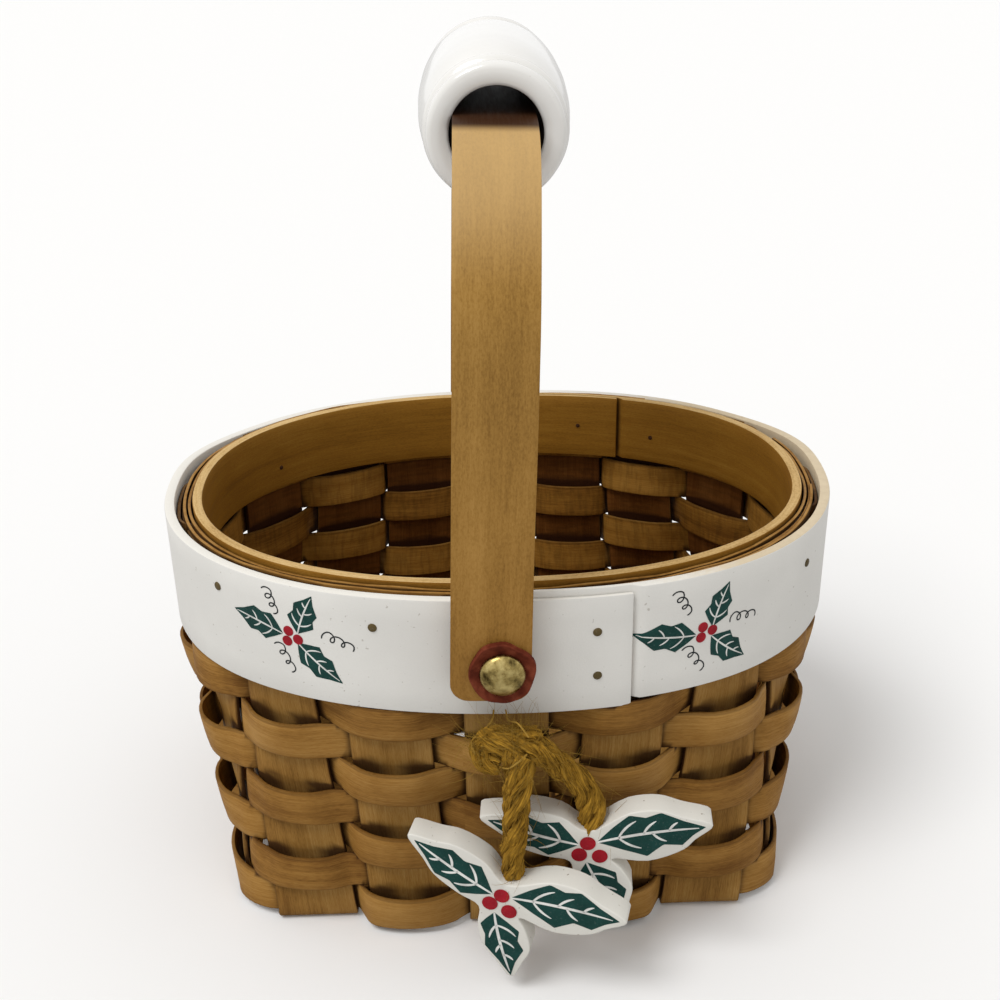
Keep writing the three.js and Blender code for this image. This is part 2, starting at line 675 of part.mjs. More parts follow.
for (const [place, sign] of [['front', -1], ['back', 1]]) {
  const leatherWasher = washer(LEATHER_RADIUS, leatherY, leatherY + LEATHER_THICKNESS, sign);
  const spacerWasher = washer(SPACER_RADIUS, bandFaceY + TOUCH_GAP, handleInnerY - TOUCH_GAP, sign);
  const burrWasher = washer(BURR_RADIUS, burrInnerY, burrOuterY, sign);
  addMesh(`${place}_rivet`, rivet(sign), brass);
  addMesh(`${place}_leather_washer`, leatherWasher, leather);
  addMesh(`${place}_spacer_washer`, spacerWasher, leather);
  addMesh(`${place}_burr_washer`, burrWasher, brass);
}

// A cut-out is three toothed leaves round a core: each leaf has an angle, a length and a half width
const CUT_OUT_LEAVES = [
  { angle: 140, length: 38, halfWidth: 8.8 },
  { angle: -10, length: 42, halfWidth: 9.5 },
  { angle: -85, length: 31, halfWidth: 8.5 },
];

// One leaf edge as parts of its length and of its half width
const LEAF_EDGE = [[0, 0.3], [0.12, 0.55], [0.3, 1], [0.45, 0.8], [0.62, 0.9], [0.78, 0.5], [0.9, 0.36]];

function leafShape({ angle, length, halfWidth }) {
  const root = new THREE.Vector2();
  const turn = THREE.MathUtils.degToRad(angle);
  const corner = (part, side) => new THREE.Vector2(part * length, side * halfWidth).rotateAround(root, turn);
  const near = LEAF_EDGE.map(([part, side]) => corner(part, -side));
  const far = LEAF_EDGE.map(([part, side]) => corner(part, side)).reverse();
  return new THREE.Shape([...near, corner(1, 0), ...far]);
}

function cutOut({ x, y, z, facing, tilt }) {
  const options = { depth: ORNAMENT_THICKNESS, bevelEnabled: false };
  const core = new THREE.CylinderGeometry(ORNAMENT_CORE_RADIUS, ORNAMENT_CORE_RADIUS, ORNAMENT_THICKNESS, 16);
  core.rotateX(Math.PI / 2);
  core.translate(0, 0, ORNAMENT_THICKNESS / 2);
  const leaves = CUT_OUT_LEAVES.map((leaf) => new THREE.ExtrudeGeometry(leafShape(leaf), options));
  const solid = leaves.reduce((sum, leaf) => sum.add(toManifold(leaf)), toManifold(core));
  const geometry = fromManifold(solid);
  geometry.translate(0, 0, -ORNAMENT_THICKNESS / 2);
  geometry.rotateZ(THREE.MathUtils.degToRad(tilt));
  geometry.rotateX(Math.PI / 2);
  geometry.rotateZ(THREE.MathUtils.degToRad(facing));
  geometry.translate(x, y, z);
  return geometry;
}

function twineTube(route) {
  const section = new THREE.Shape();
  section.absarc(0, 0, TWINE_RADIUS, 0, 2 * Math.PI, false);
  const path = new THREE.CatmullRomCurve3(route.map(([x, y, z]) => new THREE.Vector3(x, y, z)));
  return new THREE.ExtrudeGeometry(section, { steps: 6, curveSegments: 10, extrudePath: path });
}

// The knot is round about the axis that the twine legs swing on
function knotGeometry() {
  const { x, z, radius, frontY, backY, chamfer } = KNOT;
  const front = [[0, frontY], [radius - chamfer, frontY], [radius, frontY + chamfer]];
  const back = [[radius, backY - chamfer], [radius - chamfer, backY], [0, backY]];
  const lobes = KNOT_LOBES.map((lobe) => {
    const ball = new THREE.SphereGeometry(lobe.radius, 10, 6);
    ball.translate(lobe.x, lobe.y, lobe.z);
    return toManifold(ball);
  });
  const barrel = toManifold(turned([...front, ...back], 14, x, z));
  return fromManifold(lobes.reduce((sum, lobe) => sum.add(lobe), barrel));
}

const frontLegRoute = [
  [3, -109.5, 83], [2.3, -110.6, 74], [1.4, -111.8, 62], [0.6, -112.5, 54], [0.5, -112.5, 46],
];
const rearLegRoute = [[8.5, -102.5, 84.7], [16, -102.2, 76.5], [23.2, -102, 67.4], [26.6, -102, 58.9]];
addMesh('jute_knot', knotGeometry(), jute);
addMesh('front_twine_leg', twineTube(frontLegRoute), jute);
addMesh('rear_twine_leg', twineTube(rearLegRoute), jute);
addMesh('front_holly_cut_out', cutOut(FRONT_ORNAMENT), ornamentPaint);
addMesh('rear_holly_cut_out', cutOut(REAR_ORNAMENT), ornamentPaint);

export default group;
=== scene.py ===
# %% [markdown]
# An oval basket woven from wood splints, with a white painted rim band, a bent
# wood handle that turns on two brass rivets, a ceramic grip, and two holly
# cut-outs that hang from a jute knot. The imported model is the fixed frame. It
# already holds every main part, so each new piece is made in the same place.

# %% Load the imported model
import bisect
import itertools
import math
import random

import bpy
from mathutils import Matrix, Vector, noise
from mathutils.bvhtree import BVHTree


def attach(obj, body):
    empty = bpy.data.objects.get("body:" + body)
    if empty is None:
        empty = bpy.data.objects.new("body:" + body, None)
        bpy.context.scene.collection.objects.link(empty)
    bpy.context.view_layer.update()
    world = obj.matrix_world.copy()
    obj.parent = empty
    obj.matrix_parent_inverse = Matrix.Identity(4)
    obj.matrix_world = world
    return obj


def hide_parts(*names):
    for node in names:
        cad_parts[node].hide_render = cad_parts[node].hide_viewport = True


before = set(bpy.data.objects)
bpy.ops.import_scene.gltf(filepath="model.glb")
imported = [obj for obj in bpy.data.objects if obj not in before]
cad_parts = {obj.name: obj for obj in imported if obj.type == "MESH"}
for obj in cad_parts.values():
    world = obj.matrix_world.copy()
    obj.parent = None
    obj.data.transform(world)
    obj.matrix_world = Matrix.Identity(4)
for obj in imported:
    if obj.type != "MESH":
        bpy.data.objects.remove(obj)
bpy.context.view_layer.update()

# %% [markdown]
# The camera stands a little above the rim and looks down into the basket. Its
# place, its tilt and its focal length were worked out from the outlines of the
# rim, the base and the handle, so each large part lands where it should.

# %% Camera
MM = 0.001
CAMERA_PLACE = Vector((-9.29, -519.7, 369.47)) * MM
CAMERA_DOWN = math.radians(25.08)
CAMERA_RIGHT = math.radians(1.13)
CAMERA_ROLL = math.radians(-1.11)
FOCAL_LENGTH = 56.08
camera = bpy.data.objects.new("camera", bpy.data.cameras.new("camera"))
bpy.context.scene.collection.objects.link(camera)
turn = Matrix.Rotation(-CAMERA_RIGHT, 4, "Z") @ Matrix.Rotation(math.pi / 2 - CAMERA_DOWN, 4, "X")
camera.matrix_world = Matrix.Translation(CAMERA_PLACE) @ turn @ Matrix.Rotation(CAMERA_ROLL, 4, "Z")
camera.data.lens, camera.data.clip_start = FOCAL_LENGTH, 0.01
bpy.context.scene.camera = camera
print("camera at", [round(v, 3) for v in camera.location])

# %% [markdown]
# Bent strips are the heart of this basket. A strip could be a curve with a
# flat bevel, but a curve twists where it likes. Here each strip is a grid
# primitive whose rows are laid along the path, which Solidify then makes as
# thick as the splint and Bevel rounds at the cut edges. The grid also gives
# the strip a UV map in metres, so the grain can run along it everywhere.

# %% Helpers that finish a mesh
def select_only(piece):
    bpy.ops.object.select_all(action="DESELECT")
    piece.select_set(True)
    bpy.context.view_layer.objects.active = piece


def apply_modifier(piece, kind, **settings):
    select_only(piece)
    modifier = piece.modifiers.new(kind.lower(), kind)
    for key, value in settings.items():
        setattr(modifier, key, value)
    bpy.ops.object.modifier_apply(modifier=modifier.name)


def edit_mesh(piece, *steps):
    """Runs mesh operators, each with its settings, on all of a piece."""
    select_only(piece)
    bpy.ops.object.mode_set(mode="EDIT")
    for operator, settings in steps:
        bpy.ops.mesh.select_all(action="SELECT")
        operator(**settings)
    bpy.ops.object.mode_set(mode="OBJECT")


def round_edges(piece, width, segments=2, angle=50):
    limit = {"limit_method": "ANGLE", "angle_limit": math.radians(angle)}
    apply_modifier(piece, "BEVEL", width=width * MM, segments=segments, **limit)


def smooth(piece, angle=35):
    select_only(piece)
    bpy.ops.object.shade_smooth_by_angle(angle=math.radians(angle))


def keep_numbers(piece, name, values):
    """Keeps a number for each point of a piece, for its finish to read."""
    layer = piece.data.attributes.new(name, "FLOAT", "POINT")
    layer.data.foreach_set("value", values)


def set_tone(piece, tone):
    """Each strip of wood takes the stain a little differently."""
    keep_numbers(piece, "tone", [tone] * len(piece.data.vertices))


def travels(points, start=0.0):
    """How far along a line each of its points is."""
    steps = ((second - first).length for first, second in zip(points, points[1:]))
    return list(itertools.accumulate(steps, initial=start))


def mesh_piece(name, points, faces, face_uvs=(), edges=()):
    """A piece from points in millimetres and faces, with UVs in millimetres for each face corner."""
    mesh = bpy.data.meshes.new(name)
    mesh.from_pydata([Vector(point) * MM for point in points], edges, faces)
    if face_uvs:
        layer = mesh.uv_layers.new(name="along")
        corners = (corner for uvs in face_uvs for corner in uvs)
        for loop, (u, v) in zip(layer.data, corners):
            loop.uv = (u * MM, v * MM)
    piece = bpy.data.objects.new(name, mesh)
    bpy.context.scene.collection.objects.link(piece)
    return piece


def strip(name, sections, thickness, edge, closed=False, start=0.0):
    """A grid laid on sections, each a list of points across the strip, then made thick and rounded."""
    rows, columns = len(sections), len(sections[0])
    bpy.ops.object.select_all(action="DESELECT")
    bpy.ops.mesh.primitive_grid_add(x_subdivisions=columns - 1, y_subdivisions=rows - 1, size=1)
    piece = bpy.context.object
    piece.name = piece.data.name = name
    flat = [point for section in sections for point in section]
    piece.data.vertices.foreach_set("co", [value * MM for point in flat for value in point])
    piece.data.uv_layers[0].name = "along"
    travel = travels([section[columns // 2] for section in sections], start)
    width = (sections[0][-1] - sections[0][0]).length
    widths = [width * column / (columns - 1) for column in range(columns)]
    layer = piece.data.uv_layers[0].data
    for loop in piece.data.loops:
        row, column = divmod(loop.vertex_index, columns)
        layer[loop.index].uv = (travel[row] * MM, widths[column] * MM)
    if closed:
        apply_modifier(piece, "WELD", merge_threshold=0.01 * MM)
    if thickness:
        apply_modifier(piece, "SOLIDIFY", thickness=thickness * MM, offset=0, use_even_offset=True)
    if edge:
        round_edges(piece, edge)
    smooth(piece)
    return piece


def loft(name, rings, start=0.0):
    """A solid skin through rings of points, capped at both ends."""
    size, last = len(rings[0]), len(rings) - 1
    around = travels(rings[0] + rings[0][:1])
    travel = travels([ring[0] for ring in rings], start)
    faces, uvs = [], []
    for ring in range(last):
        near, far = travel[ring], travel[ring + 1]
        for index in range(size):
            left, right = ring * size + index, ring * size + (index + 1) % size
            low, high = around[index], around[index + 1]
            faces.append((left, right, right + size, left + size))
            uvs.append(((near, low), (near, high), (far, high), (far, low)))
    for ring, order in ((0, -1), (last, 1)):
        corners = range(size)[::order]
        faces.append([ring * size + index for index in corners])
        uvs.append([(travel[ring], around[index]) for index in corners])
    piece = mesh_piece(name, [point for ring in rings for point in ring], faces, uvs)
    edit_mesh(piece, (bpy.ops.mesh.normals_make_consistent, {"inside": False}))
    return piece


def curve_through(points, steps, closed=False):
    """Points on a smooth line through the given ones, with the same number of steps in each span."""
    if closed:
        whole = [points[-1], *points, *points[:2]]
    else:
        whole = [points[0] * 2 - points[1], *points, points[-1] * 2 - points[-2]]
    line = []
    for four in zip(whole, whole[1:], whole[2:], whole[3:]):
        knots = [0.0]
        for first, second in zip(four, four[1:]):
            knots.append(knots[-1] + max((second - first).length, 1e-6) ** 0.5)
        for step in range(steps):
            at = knots[1] + (knots[2] - knots[1]) * step / steps
            blended = four
            for low, high in ((0, 1), (0, 2), (1, 2)):
                shares = [(at - near) / (far - near) for near, far in zip(knots[low:], knots[high:])]
                blended = [one.lerp(two, share) for one, two, share in zip(blended, blended[1:], shares)]
            line.append(blended[0])
    if not closed:
        line.append(points[-1].copy())
    return line


# %% [markdown]
# Shader maths is easier to read as sums. The small class below wraps a node's
# socket, so that `grain * 0.4 + 0.6` adds the Math nodes by itself. All other
# nodes come from one method that sets them up and links what they read.

# %% Shader helpers
class Wire:
    def __init__(self, tree, socket):
        self.tree, self.socket = tree, socket

    def maths(self, operation, first, second):
        made = self.tree.nodes.new("ShaderNodeMath")
        made.operation = operation
        for place, value in enumerate((first, second)):
            if isinstance(value, Wire):
                self.tree.links.new(value.socket, made.inputs[place])
            else:
                made.inputs[place].default_value = value
        return Wire(self.tree, made.outputs[0])

    def __add__(self, other):
        return self.maths("ADD", self, other)

    def __sub__(self, other):
        return self.maths("SUBTRACT", self, other)

    def __rsub__(self, other):
        return self.maths("SUBTRACT", other, self)

    def __mul__(self, other):
        return self.maths("MULTIPLY", self, other)

    def __pow__(self, other):
        return self.maths("POWER", self, other)

    __radd__, __rmul__ = __add__, __mul__


class Finish:
    """A material: its Principled shader and the ways to add nodes to it."""

    def __init__(self, name, **numbers):
        self.material = bpy.data.materials.new(name)
        self.material.use_nodes = True
        self.tree = self.material.node_tree
        self.shader = self.tree.nodes["Principled BSDF"]
        for key, value in numbers.items():
            self.shader.inputs[key.replace("_", " ")].default_value = value

    def node(self, kind, settings=None, inputs=None, output=0):
        made = self.tree.nodes.new(kind)
        for key, value in (settings or {}).items():
            if key == "stops":
                ramp = made.color_ramp.elements
                while len(ramp) < len(value):
                    ramp.new(0.5)
                for stop, (place, colour) in zip(ramp, value):
                    stop.position = place
                    stop.color = (*colour, 1)
            else:
                setattr(made, key, value)
        for key, value in (inputs or {}).items():
            if isinstance(value, Wire):
                self.tree.links.new(value.socket, made.inputs[key])
            else:
                made.inputs[key].default_value = value
        return Wire(self.tree, made.outputs[output])

    def noise(self, place, scale, detail=3.0, roughness=0.55):
        sockets = {"Vector": place, "Scale": scale, "Detail": detail, "Roughness": roughness}
        return self.node("ShaderNodeTexNoise", inputs=sockets)

    def position(self, x=1.0, y=1.0, z=1.0):
        where = self.node("ShaderNodeTexCoord", output=3)
        return self.node("ShaderNodeVectorMath", {"operation": "MULTIPLY"}, {0: where, 1: (x, y, z)})

    def place(self, axis):
        """One coordinate of the position: 0 is x, 1 is y and 2 is z."""
        return self.node("ShaderNodeSeparateXYZ", inputs={0: self.position()}, output=axis)

    def along(self):
        """The strip's own coordinates: along its length, and across it, in metres."""
        uv = self.node("ShaderNodeUVMap", {"uv_map": "along"})
        parts = self.node("ShaderNodeSeparateXYZ", inputs={0: uv})
        return parts, Wire(self.tree, parts.socket.node.outputs[1])

    def number(self, name):
        return self.node("ShaderNodeAttribute", {"attribute_name": name}, output=2)

    def point(self, x, y, z):
        return self.node("ShaderNodeCombineXYZ", inputs={0: x, 1: y, 2: z})

    def range(self, value, low, high, out_low=0.0, out_high=1.0, curve="SMOOTHSTEP"):
        sockets = {0: value, 1: low, 2: high, 3: out_low, 4: out_high}
        return self.node("ShaderNodeMapRange", {"interpolation_type": curve}, sockets)

    def ramp(self, value, *stops):
        return self.node("ShaderNodeValToRGB", {"stops": stops}, {0: value})

    def mix(self, factor, first, second, blend="MIX"):
        colours = [c if isinstance(c, Wire) else (*c, 1) for c in (first, second)]
        settings = {"data_type": "RGBA", "blend_type": blend}
        return self.node("ShaderNodeMix", settings, {0: factor, 6: colours[0], 7: colours[1]}, output=2)

    def bump(self, height, strength, distance):
        sockets = {"Height": height, "Strength": strength, "Distance": distance * MM}
        return self.node("ShaderNodeBump", inputs=sockets)

    def wire(self, **sockets):
        for key, value in sockets.items():
            self.tree.links.new(value.socket, self.shader.inputs[key.replace("_", " ")])
        return self.material


# %% [markdown]
# The splints are thin strips of hardwood, stained a warm brown. Stain sinks
# into the open pores and makes fine dashes along the grain. The cut edges
# drink more of it and go darker. Noise stretched along a UV map gives that:
# a wide one for the bands, a narrow one for the fibres, a fine one for pores.

# %% Stained splint wood
# Where the recess number starts to paint shade, and where the painted shade is full.
DEEP_SHADE_LOW, DEEP_SHADE_HIGH = 0.12, 0.62
EDGE_STAIN = 1.6


def scaled(colour, share):
    return tuple(share * part for part in colour)


def painted_deep_shade(paint, colour, dark, strength=0.85):
    """Painted shade: deep places are painted darker and redder, as the light would shade them."""
    deep = paint.range(paint.number("recess"), DEEP_SHADE_LOW, DEEP_SHADE_HIGH)
    return paint.mix(deep * strength, colour, dark)


def splint_finish(name, width, dark, middle, light, inside):
    """inside is what the colour of the inner face is multiplied by: for the weavers a yellower, unstained
    face, and for the uprights painted shade, as they lie back behind the inside rows.
    """
    paint = Finish(name, Roughness=0.6, Specular_IOR_Level=0.12)
    u, v = paint.along()
    tone = paint.number("tone")
    bands = paint.noise(paint.point(u * 6, v * 170, tone * 91), 1, 4)
    fibres = paint.noise(paint.point(u * 70, v * 2300, tone * 57), 1, 4, 0.6)
    pores = paint.noise(paint.point(u * 420, v * 4600, tone * 33), 1, 2)
    blotch = paint.noise(paint.position(), 48, 3)
    shade = bands * 0.36 + fibres * 0.29 + (pores - 0.5) * 0.26 + (blotch - 0.5) * 0.30
    shade = shade + (tone - 0.5) * 0.13 + 0.175
    brown = paint.ramp(shade, (0.36, dark), (0.50, middle), (0.65, light))
    from_middle = paint.range(v, 0.0, width * MM, -1.0, 1.0, "LINEAR")
    rim = paint.range(from_middle * from_middle, (1 - EDGE_STAIN / width) ** 2, 1.0)
    dark_pores = paint.range(pores, 0.60, 0.76)
    stained = paint.mix(dark_pores * 0.30 + rim * 0.45, brown, scaled(dark, 0.45))
    # The inner faces: an unstained tint on the weavers, painted shade on the uprights.
    inner = paint.number("inner")
    ribs = paint.noise(paint.point(u * 620, v * 90, tone * 21), 1, 3, 0.6)
    inner_tint_and_shade = paint.mix(paint.range(ribs, 0.40, 0.66) * 0.45, inside, scaled(inside, 0.45))
    stained = paint.mix(inner, stained, inner_tint_and_shade, "MULTIPLY")
    # Painted shade in the deep places of the weave.
    stained = painted_deep_shade(paint, stained, (0.022, 0.006, 0.003))
    height = fibres * 0.6 + bands * 0.25 + pores * 0.2 + inner * ribs * 0.9
    rough = paint.range(shade, 0.35, 0.65, 0.68, 0.50)
    return paint.wire(Base_Color=stained, Normal=paint.bump(height, 0.45, 0.2), Roughness=rough)


weaver_wood = splint_finish(
    "stained_weaver_wood", 12.9, (0.158, 0.067, 0.012), (0.290, 0.141, 0.029), (0.410, 0.221, 0.058),
    (1.05, 0.98, 0.72),
)
# The uprights' inner faces are multiplied by a dark colour: painted shade, as they lie back behind the
# rows.
upright_wood = splint_finish(
    "stained_upright_wood", 28, (0.158, 0.071, 0.014), (0.290, 0.147, 0.033), (0.410, 0.234, 0.068),
    (0.50, 0.34, 0.26),
)

# %% [markdown]
# The hoops and the handle are thicker strips, steamed and bent round a form.
# Their faces are planed smooth and only lightly stained, so they are lighter
# and yellower than the weave. Their sawn edges stay pale.

# %% Smooth hoop and handle wood
LEG_DARK_Z, LEG_LIGHT_Z = 0.11, 0.27
# A painted highlight on the top of the handle's bend, where the light from above falls.
HIGHLIGHT_LOW_Z, HIGHLIGHT_HIGH_Z, PAINTED_TOP_HIGHLIGHT = 0.235, 0.270, (0.66, 0.45, 0.21)
# A painted shadow on the handle under the grip and inside its bore: where it starts, where it is full, and
# its colour.
GRIP_SHADOW_START_Y, GRIP_SHADOW_FULL_Y, PAINTED_GRIP_SHADOW = 0.0635, 0.0565, (0.030, 0.008, 0.003)


def smooth_wood(name, dark, middle, light, streak, gloss, low_shade=None):
    """low_shade is for the handle: what its wood is multiplied by towards the lower end of a leg. It also
    gives the handle a painted highlight on the top of its bend, and a painted shadow where the grip shades
    it.
    """
    paint = Finish(name, Specular_IOR_Level=0.15)
    u, v = paint.along()
    tone = paint.number("tone")
    bands = paint.noise(paint.point(u * 5, v * 190, tone * 71), 1, 4)
    fibres = paint.noise(paint.point(u * 95, v * 2500, tone * 13), 1, 4, 0.62)
    flecks = paint.noise(paint.point(u * 900, v * 3600, tone * 29), 1, 2)
    blotch = paint.noise(paint.position(), 26, 2)
    shade = bands * 0.30 + fibres * streak + (flecks - 0.5) * 0.30 + (blotch - 0.5) * 0.22
    shade = shade + (0.35 - streak / 2)
    colour = paint.ramp(shade, (0.36, dark), (0.50, middle), (0.66, light))
    colour = paint.mix(paint.range(flecks, 0.60, 0.74) * 0.2, colour, dark)
    if low_shade:
        height, depth = paint.place(2), paint.place(1)
        low = paint.range(height, LEG_LIGHT_Z, LEG_DARK_Z, curve="LINEAR")
        colour = paint.mix(low * 0.8, colour, low_shade, "MULTIPLY")
        # Painted highlight: the top of the bend is painted lighter.
        top = paint.range(height, HIGHLIGHT_LOW_Z, HIGHLIGHT_HIGH_Z)
        colour = paint.mix(top * 0.5, colour, PAINTED_TOP_HIGHLIGHT)
        # Painted shadow: the handle is painted near black towards and inside the grip's bore.
        grip_shadow = paint.range(depth * depth, GRIP_SHADOW_START_Y ** 2, GRIP_SHADOW_FULL_Y ** 2)
        colour = paint.mix(grip_shadow * 0.97, colour, PAINTED_GRIP_SHADOW)
    # Painted shade in the deep places of the hoop.
    colour = painted_deep_shade(paint, colour, (0.035, 0.012, 0.003), 0.8)
    height = fibres * 0.7 + flecks * 0.3
    rough = paint.range(fibres, 0.2, 0.8, gloss, gloss + 0.16)
    return paint.wire(Base_Color=colour, Normal=paint.bump(height, 0.25, 0.1), Roughness=rough)


hoop_wood = smooth_wood(
    "bent_hoop_wood", (0.185, 0.078, 0.008), (0.280, 0.126, 0.013), (0.37, 0.186, 0.028), 0.32, 0.5
)
handle_wood = smooth_wood(
    "handle_wood", (0.245, 0.125, 0.024), (0.375, 0.205, 0.046), (0.50, 0.29, 0.080), 0.22, 0.42,
    (0.68, 0.59, 0.46),
)
sawn_edge = smooth_wood(
    "pale_sawn_edge", (0.34, 0.19, 0.055), (0.56, 0.365, 0.145), (0.70, 0.50, 0.24), 0.4, 0.6
)

# %% [markdown]
# White paint on wood is never one flat white. It is a little darker in broad
# patches, finely stippled where the grain lifts it, with a few specks of dirt
# and rubbed places where the wood shows at an edge.

# %% White paint
def white_finish(name, grain, dirt, white=(0.80, 0.785, 0.745)):
    paint = Finish(name, Roughness=0.55, Specular_IOR_Level=0.4)
    broad = paint.noise(paint.position(), 24, 3)
    stipple = paint.noise(paint.position(), 1900, 2)
    specks = paint.noise(paint.position(), 620, 1)
    clean = paint.mix(paint.range(broad, 0.35, 0.7), scaled(white, 0.93), white)
    clean = paint.mix(stipple * 0.16, clean, (0.5, 0.48, 0.44))
    speck = paint.range(specks, 0.72, 0.80)
    dirty = paint.mix(speck * dirt, clean, (0.22, 0.17, 0.11))
    height = stipple * grain + broad * 0.3
    return paint.wire(Base_Color=dirty, Normal=paint.bump(height, 0.35, 0.15))


band_paint = white_finish("white_band_paint", 0.9, 0.4)
cut_out_paint = white_finish("white_cut_out_paint", 1.0, 0.8, (0.755, 0.735, 0.675))


def rubbed_edge_finish():
    """The band's top edge: white paint, rubbed down to tan wood towards its right end."""
    paint = Finish("rubbed_band_edge", Roughness=0.6, Specular_IOR_Level=0.2)
    worn = paint.noise(paint.position(), 320, 3, 0.6)
    bare = paint.range(paint.place(0) + (worn - 0.5) * 0.03, 0.045, 0.085)
    fine = paint.noise(paint.position(), 1300, 2)
    white = paint.mix(fine * 0.3, (0.83, 0.81, 0.76), (0.70, 0.65, 0.55))
    tan = paint.mix(worn, (0.50, 0.36, 0.18), (0.70, 0.56, 0.34))
    return paint.wire(Base_Color=paint.mix(bare * 0.75, white, tan), Normal=paint.bump(fine, 0.3, 0.1))


def plain_print(name, colour, worn, rough=0.5):
    paint = Finish(name, Roughness=rough, Specular_IOR_Level=0.12)
    stipple = paint.noise(paint.position(), 1500, 2, 0.6)
    broad = paint.noise(paint.position(), 160, 3)
    thin = paint.range(stipple, 0.55, 0.8)
    lighter = tuple(c + (0.5 - c) * 0.22 for c in colour)
    flat = paint.mix(paint.range(broad, 0.3, 0.7), scaled(colour, 0.8), scaled(colour, 1.15))
    colour = paint.mix(thin * worn, flat, lighter)
    return paint.wire(Base_Color=colour, Normal=paint.bump(stipple, 0.3, 0.08))


rubbed_edge = rubbed_edge_finish()
leaf_green = plain_print("leaf_green_print", (0.008, 0.047, 0.040), 0.35)
berry_red = plain_print("berry_red_print", (0.33, 0.010, 0.020), 0.2)
vein_white = plain_print("vein_white_print", (0.72, 0.72, 0.69), 0.1)
tendril_ink = plain_print("tendril_ink", (0.012, 0.016, 0.018), 0.2)

# %% [markdown]
# The last finishes are the white glaze of the grip, polished brass with finger
# marks, red-brown leather, and dry jute. Gloss comes from the shader's own
# values, and smudges only change the roughness a little.

# %% Glaze, brass, leather and jute
def glaze_finish():
    paint = Finish("white_glaze", Specular_IOR_Level=0.5, Coat_Weight=0.6, Coat_Roughness=0.04)
    broad = paint.noise(paint.position(), 30, 2)
    pits = paint.noise(paint.position(), 900, 1)
    white = paint.mix(paint.range(broad, 0.3, 0.7), (0.80, 0.785, 0.755), (0.86, 0.85, 0.825))
    pitted = paint.mix(paint.range(pits, 0.74, 0.82) * 0.35, white, (0.45, 0.41, 0.34))
    rough = paint.range(broad, 0.3, 0.7, 0.16, 0.24)
    return paint.wire(Base_Color=pitted, Roughness=rough, Normal=paint.bump(broad + pits * 0.05, 0.12, 0.3))


def brass_finish():
    paint = Finish("tarnished_brass", Metallic=1.0)
    smudge = paint.noise(paint.position(), 190, 4, 0.6)
    scratch = paint.noise(paint.position(1, 1, 7), 900, 2)
    dark, middle, light = (0.055, 0.036, 0.010), (0.32, 0.235, 0.080), (0.60, 0.48, 0.20)
    colour = paint.ramp(smudge, (0.36, dark), (0.50, middle), (0.66, light))
    rough = paint.range(smudge, 0.35, 0.65, 0.16, 0.36)
    return paint.wire(Base_Color=colour, Roughness=rough, Normal=paint.bump(scratch + smudge, 0.18, 0.1))


def leather_finish():
    paint = Finish("red_brown_leather", Roughness=0.75, Specular_IOR_Level=0.1)
    grain = paint.node("ShaderNodeTexVoronoi", inputs={"Vector": paint.position(), "Scale": 1100})
    broad = paint.noise(paint.position(), 260, 3)
    dark, middle, light = (0.070, 0.011, 0.005), (0.125, 0.023, 0.010), (0.20, 0.046, 0.022)
    colour = paint.ramp(broad, (0.3, dark), (0.5, middle), (0.7, light))
    return paint.wire(Base_Color=colour, Normal=paint.bump(grain * 0.5 + broad, 0.5, 0.2))


def jute_finish(name, dark, light):
    paint = Finish(name, Roughness=0.85, Specular_IOR_Level=0.08)
    u, v = paint.along()
    fibres = paint.noise(paint.point(u * 120, v * 1700, 3.1), 1, 4, 0.7)
    broad = paint.noise(paint.position(), 210, 3)
    shade = fibres * 0.95 + broad * 0.35 - 0.13
    middle = tuple((a + b) / 2 for a, b in zip(dark, light))
    colour = paint.ramp(shade, (0.34, dark), (0.52, middle), (0.68, light))
    return paint.wire(Base_Color=colour, Normal=paint.bump(fibres, 0.9, 0.45))


glaze = glaze_finish()
brass = brass_finish()
dark_bronze = plain_print("dark_bronze_nail", (0.105, 0.075, 0.030), 0.5)
rusted_nail = plain_print("rusted_nail", (0.050, 0.020, 0.008), 0.2, 0.8)
# The bore's clay: unglazed, and painted near black as painted shade for the dark inside of the bore.
bore_clay_and_shade = plain_print("unglazed_clay_with_painted_shade", (0.014, 0.006, 0.004), 0.0, 0.9)
leather = leather_finish()
jute = jute_finish("jute_plies", (0.060, 0.026, 0.002), (0.50, 0.270, 0.032))
jute_hair = jute_finish("jute_hairs", (0.24, 0.125, 0.014), (0.50, 0.31, 0.065))
print("finishes:", len(bpy.data.materials))

# %% [markdown]
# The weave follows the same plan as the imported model. The base is a mat of
# five splints one way and four the other. Each splint turns up at both ends,
# so there are eighteen uprights. The feet of the uprights stand on a squarish
# oval and their tops on a rounder one, and a wall frame says where an upright
# is at any height. All these sizes are in millimetres.

# %% The two ovals and the uprights
SPLINT_WIDTH, SPLINT_THICKNESS = 28.0, 1.8
WEAVER_THICKNESS, WEAVE_GAP = 1.3, 0.3
ROW_PITCH, FIRST_ROW_Z, ROW_COUNT = 13.05, 3.0, 10
RIM_Z, SPLINT_TOP_Z, BEND_RADIUS, BASE_PITCH = 136.5, 132.5, 3.0, 34.0
FOOT_HALF_X, FOOT_HALF_Y, FOOT_POWER = 97.8, 82.7, 4.0
WALL_FLARE_POWER, FRONT_RIM_PITCH, BACK_RIM_PITCH = 1.15, 40.0, 31.5
BAND_HEIGHT, BAND_TAPER, HOOP_HEIGHT, HOOP_TAPER = 42.0, 0.9, 26.0, 0.8
WEAVE_EDGE_OFFSET, RIM_WEAVE_OFFSET = 2.05, 1.86
WEAVER_EDGE_HALF = 14.4
UPRIGHTS, FRONT_REACH, OVAL_SAMPLES = 18, 2, 1440
